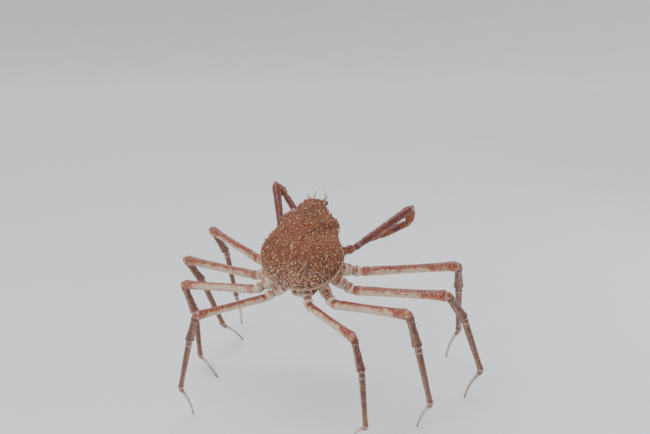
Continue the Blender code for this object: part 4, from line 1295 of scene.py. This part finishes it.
def claw_spine_patches(side):
    """Rows of short spines on a claw arm, leaning towards its tip."""
    points, patches = limb_points(side, 0), []
    for place, rows in CLAW_SPINES.items():
        start, end = points[place], points[place + 1]
        along = unit(end - start)
        across = unit(np.array((along[1], -along[0], 0.0)))
        for degrees, first, last, count, length in rows:
            steps = np.arange(count)
            share = first + (last - first) * steps / max(1, count - 1)
            turn = np.radians(degrees + 14.0 * (steps % 2))[:, None]
            outward = across * np.cos(turn) + np.cross(across, along) * np.sin(turn)
            size = radius_along(CLAW_SHAPES[place], LEG_THICKNESS[0], share)[:, None]
            root = start + (end - start) * share[:, None] + outward * 0.96 * size
            patches.append(grown(root, outward + SPINE_LEAN * along, 0.40 * length,
                                 1.05 * length, SPIKE_PROFILE, 9, 0.8))
    return patches


def finger_patches(side):
    """Two slim fingers that meet at their tips: each a tapering tube bowed outward, with a
    row of blunt teeth along the inside."""
    start, end, along, _, outer = limb_frame(limb_points(side, 0), TOE_PLACE)
    thickness = LEG_THICKNESS[0]
    size = np.linalg.norm(end - start)
    shares, steps = np.linspace(0.0, 1.0, 9), np.linspace(0.18, 0.84, 11)
    radii = thickness * np.interp(shares, *FINGER_RADII)
    bow = 0.17 * thickness * (1.0 - shares ** 1.5) + 0.09 * thickness * np.sin(math.pi * shares)
    patches = []
    for way, reach in ((1.0, 1.0), (-1.0, 0.97)):
        lift = way * bow
        path = start - along * 0.06 * size + along * (size * 1.06 * reach * shares)[:, None]
        rows, share = tube_rows(path + outer * lift[:, None], radii, 24, 70)
        marks = {"red": 0.85 - 0.3 * share, "dark": ramp(share, 0.66, 0.86), "pale": 0.0}
        patches.append(skin(rows, marks))
        lifts = np.interp(steps, shares, lift) - way * np.interp(steps, shares, radii) * 0.9
        roots = start + along * (size * reach * steps)[:, None] + outer * lifts[:, None]
        teeth = grown(roots, np.tile(-outer * way, (len(steps), 1)), 0.0011, 0.0010,
                      BEAD_PROFILE, 8, 1.0)
        teeth["marks"] = {"pale": teeth["marks"]["tip"]}
        patches.append(teeth)
    return patches


# What a user can change

class CrabSizes(bpy.types.PropertyGroup):
    """Sizes of the shell, and size and count of its granules."""
    shell_width: bpy.props.FloatProperty(
        name="Shell width", description="Width of the shell across its widest part",
        default=SHELL_WIDTH, unit="LENGTH")
    shell_height: bpy.props.FloatProperty(
        name="Shell height", description="Height of the dome above the shell's rim",
        default=SHELL_HEIGHT, unit="LENGTH")
    granule_count: bpy.props.IntProperty(
        name="Granules", description="How many small granules are sown on the shell", default=5000)
    granule_radius: bpy.props.FloatProperty(
        name="Granule radius", description="Radius of a common granule",
        default=0.0020, unit="LENGTH")


class CrabColours(bpy.types.PropertyGroup):
    """Base colours of the finishes."""
    __annotations__ = {
        key: bpy.props.FloatVectorProperty(name=label, description=text, default=value,
                                           subtype="COLOR")
        for key, (label, text, value) in COLOURS.items()
    }


# One operator for each piece or group of like pieces

class CRAB_OT_shell(bpy.types.Operator):
    """Build the shell with its furrows and rear rim"""
    bl_idname = "crab.shell"
    bl_label = "Shell"

    def execute(self, context):
        add_piece("shell_plate", [shell_patch()], finish("Shell horn"), "shell", ["shell"])
        return {"FINISHED"}


class CRAB_OT_granules(bpy.types.Operator):
    """Grow the shell's granules, tubercles, rim beads, spines and horns"""
    bl_idname = "crab.granules"
    bl_label = "Granules and horns"

    def execute(self, context):
        draw = np.random.default_rng(GRANULE_SEED)
        patches = [small_granules(draw), *large_granules()]
        add_piece("shell_granules", patches, finish("Shell granules"), "shell")
        add_piece("rim_beads", [rim_bead_patch(draw)], finish("Shell granules"), "shell")
        add_piece("shell_spines", shell_spine_patches(), finish("Shell granules"), "shell")
        return {"FINISHED"}


class CRAB_OT_underside(bpy.types.Operator):
    """Build the breast and the apron folded under it"""
    bl_idname = "crab.underside"
    bl_label = "Underside"

    def execute(self, context):
        add_piece("breast_plate", [breast_patch()], finish("Belly horn"), "belly", ["breast"])
        add_piece("apron_plate", [apron_patch()], finish("Belly horn"), "belly", ["apron"])
        return {"FINISHED"}


class CRAB_OT_mouth(bpy.types.Operator):
    """Build the outer jaw feet over the mouth"""
    bl_idname = "crab.mouth"
    bl_label = "Mouth"

    def execute(self, context):
        add_piece("jaw_feet", mouth_patches(), finish("Belly horn"), "belly", ["mouth"])
        return {"FINISHED"}


class CRAB_OT_eyes(bpy.types.Operator):
    """Build the stalked eyes"""
    bl_idname = "crab.eyes"
    bl_label = "Eyes"

    def execute(self, context):
        for name, side in SIDES.items():
            facing = unit(mirrored(EYE_FACING, side))
            place = mirrored(EYE_PLACE, side)
            turn = Vector(facing).to_track_quat("Z", "Y").to_matrix().to_4x4()
            rows, dark = lump_rows(place + facing * 0.0040, (0.0062, 0.0062, 0.0082), turn, power=1.0)
            add_piece(f"cornea_{name}", [body_skin(rows, {"dark": dark})], finish("Cornea"),
                      "eye", [f"eye_{name}"])
            path = place + facing * np.array(EYE_STALK_STEPS)[:, None]
            rows, share = tube_rows(path, EYE_STALK_RADII, 28, 40)
            marks = {"red": 0.55 - 0.2 * share, "pale": 0.6 * near(share, 0.86, 0.08), "dark": 0.0}
            add_piece(f"eye_stalk_{name}", [body_skin(rows, marks)], finish("Feeler horn"), "feeler")
        return {"FINISHED"}


class CRAB_OT_eye_knobs(bpy.types.Operator):
    """Set short pale spines round each eye's socket and along the brow"""
    bl_idname = "crab.eye_knobs"
    bl_label = "Eye knobs"

    def execute(self, context):
        add_piece("brow_spines", brow_spine_patches(), finish("Shell granules"), "shell")
        return {"FINISHED"}


class CRAB_OT_feelers(bpy.types.Operator):
    """Build the feelers"""
    bl_idname = "crab.feelers"
    bl_label = "Feelers"

    def execute(self, context):
        for name, side in SIDES.items():
            rows, share = tube_rows(mirrored(FEELER_PATH, side), FEELER_RADII, 20, 160, 0.05)
            marks = {"red": 0.18 + 0.15 * share, "pale": 0.3 * ramp(-share, -0.4, 0.0), "dark": 0.0}
            add_piece(f"feeler_skin_{name}", [body_skin(rows, marks)], finish("Feeler horn"),
                      "feeler", [f"feeler_{name}"])
        return {"FINISHED"}


class CRAB_OT_legs(bpy.types.Operator):
    """Build the eight walking legs, each length its own piece"""
    bl_idname = "crab.legs"
    bl_label = "Legs"

    def execute(self, context):
        for side, number, points, thickness in limbs(WALKING_LEGS):
            for place, (part, style) in enumerate(zip(PART_NAMES, LEG_STYLES)):
                shape, marks, horn, slot, rings = style
                bow = TOE_BOW * LEG_LENGTHS[number][place] if place == TOE_PLACE else 0.0
                seed = 100 * number + 10 * place + (5 if side == "left" else 0)
                rows, values = length_patch(points, place, shape, thickness, marks, rings, bow, seed)
                rows[..., 2] = np.maximum(rows[..., 2], 0.0)
                add_piece(f"{part}_{side}_{number}", [skin(rows, values)], finish(horn), slot,
                          [f"leg_{side}_{number}_{part}"])
        add_piece("knuckles", [knuckle_patch()], finish("Knuckles"), "joint")
        add_piece("leg_granules", leg_dot_patches(), finish("Leg granules"), "leg")
        return {"FINISHED"}


class CRAB_OT_claws(bpy.types.Operator):
    """Build the two claw arms with their spines and fingers"""
    bl_idname = "crab.claws"
    bl_label = "Claws"

    def execute(self, context):
        for side, _, points, thickness in limbs((0,)):
            for place, (part, shape) in enumerate(zip(CLAW_NAMES, CLAW_SHAPES)):
                seed = 900 + 10 * place + (5 if side == "left" else 0)
                rows, values = length_patch(points, place, shape, thickness, claw_marks, 120,
                                            0.0, seed)
                add_piece(f"claw_{part}_skin_{side}", [skin(rows, values)], finish("Claw horn"), "claw",
                          [f"claw_{side}_{part}"])
            add_piece(f"fingers_{side}", finger_patches(side), finish("Claw horn"), "claw",
                      [f"claw_{side}_finger"])
            add_piece(f"claw_spines_{side}", claw_spine_patches(side), finish("Claw spines"), "claw")
        return {"FINISHED"}


class CRAB_OT_stage(bpy.types.Operator):
    """Lay the pale floor, hang the soft lights and place the camera"""
    bl_idname = "crab.stage"
    bl_label = "Stage"

    def execute(self, context):
        self.lay_floor()
        sky = bpy.data.lights.new("Overhead", "SUN")
        sky.energy, sky.angle = OVERHEAD_POWER, OVERHEAD_SPREAD
        placed("Overhead", sky, turns=OVERHEAD_TURN)
        for name, place, aim, size, power, colour in SOFT_LIGHTS:
            lamp = bpy.data.lights.new(name, "AREA")
            lamp.size, lamp.energy, lamp.color = size, power, colour
            way = Vector(aim) - Vector(place)
            placed(name, lamp, place, way.to_track_quat("-Z", "Y").to_euler())
        world = bpy.data.worlds.new("Studio")
        world.use_nodes = True
        back = world.node_tree.nodes["Background"]
        back.inputs["Color"].default_value = SKY_COLOUR
        back.inputs["Strength"].default_value = SKY_STRENGTH
        context.scene.world = world
        lens = bpy.data.cameras.new("Camera")
        lens.sensor_width, lens.lens = CAMERA_SENSOR, CAMERA_LENS
        context.scene.camera = placed("Camera", lens, CAMERA_PLACE, CAMERA_TURN)
        return {"FINISHED"}

    def lay_floor(self):
        """A square grid that is flat in the middle and rises to all sides."""
        steps = np.linspace(-FLOOR_REACH, FLOOR_REACH, FLOOR_POINTS)
        across, forward = np.meshgrid(steps, steps)
        rise = FLOOR_RISE * ramp(np.hypot(across, forward), FLOOR_FLAT, FLOOR_REACH)
        points = np.stack([across, forward, rise], axis=-1).reshape(-1, 3)
        here = np.arange(len(points)).reshape(across.shape)
        quads = np.stack([here[:-1, :-1], here[:-1, 1:], here[1:, 1:], here[1:, :-1]], axis=-1)
        mesh = bpy.data.meshes.new("stage_floor")
        mesh.from_pydata(points, [], quads.reshape(-1, 4).tolist())
        mesh.shade_smooth()
        mesh.materials.append(floor_finish())
        floor = placed("stage_floor", mesh)


class CRAB_PT_panel(bpy.types.Panel):
    """Lists the crab's sizes, colours and builders"""
    bl_idname = "CRAB_PT_panel"
    bl_label = "Spider crab"
    bl_space_type = "VIEW_3D"
    bl_region_type = "UI"
    bl_category = "Crab"

    def draw(self, context):
        for settings in (context.scene.crab_sizes, context.scene.crab_colours):
            for name in settings.bl_rna.properties.keys():
                if name not in ("name", "rna_type"):
                    self.layout.prop(settings, name)
        for operator in OPERATORS:
            self.layout.operator(operator.bl_idname)


OPERATORS = (
    CRAB_OT_shell, CRAB_OT_granules, CRAB_OT_underside, CRAB_OT_mouth, CRAB_OT_eyes,
    CRAB_OT_eye_knobs, CRAB_OT_feelers, CRAB_OT_legs, CRAB_OT_claws, CRAB_OT_stage,
)
CLASSES = (CrabSizes, CrabColours, *OPERATORS, CRAB_PT_panel)


def register():
    """Register the classes and attach the settings to the scene."""
    for each in CLASSES:
        bpy.utils.register_class(each)
    bpy.types.Scene.crab_sizes = bpy.props.PointerProperty(type=CrabSizes)
    bpy.types.Scene.crab_colours = bpy.props.PointerProperty(type=CrabColours)


def unregister():
    """Take the settings and the classes away again."""
    del bpy.types.Scene.crab_colours
    del bpy.types.Scene.crab_sizes
    for each in reversed(CLASSES):
        bpy.utils.unregister_class(each)


def main():
    """Build every piece in order."""
    register()
    bpy.ops.crab.shell()
    bpy.ops.crab.granules()
    bpy.ops.crab.underside()
    bpy.ops.crab.mouth()
    bpy.ops.crab.eyes()
    bpy.ops.crab.eye_knobs()
    bpy.ops.crab.feelers()
    bpy.ops.crab.legs()
    bpy.ops.crab.claws()
    bpy.ops.crab.stage()


if __name__ == "__main__":
    main()
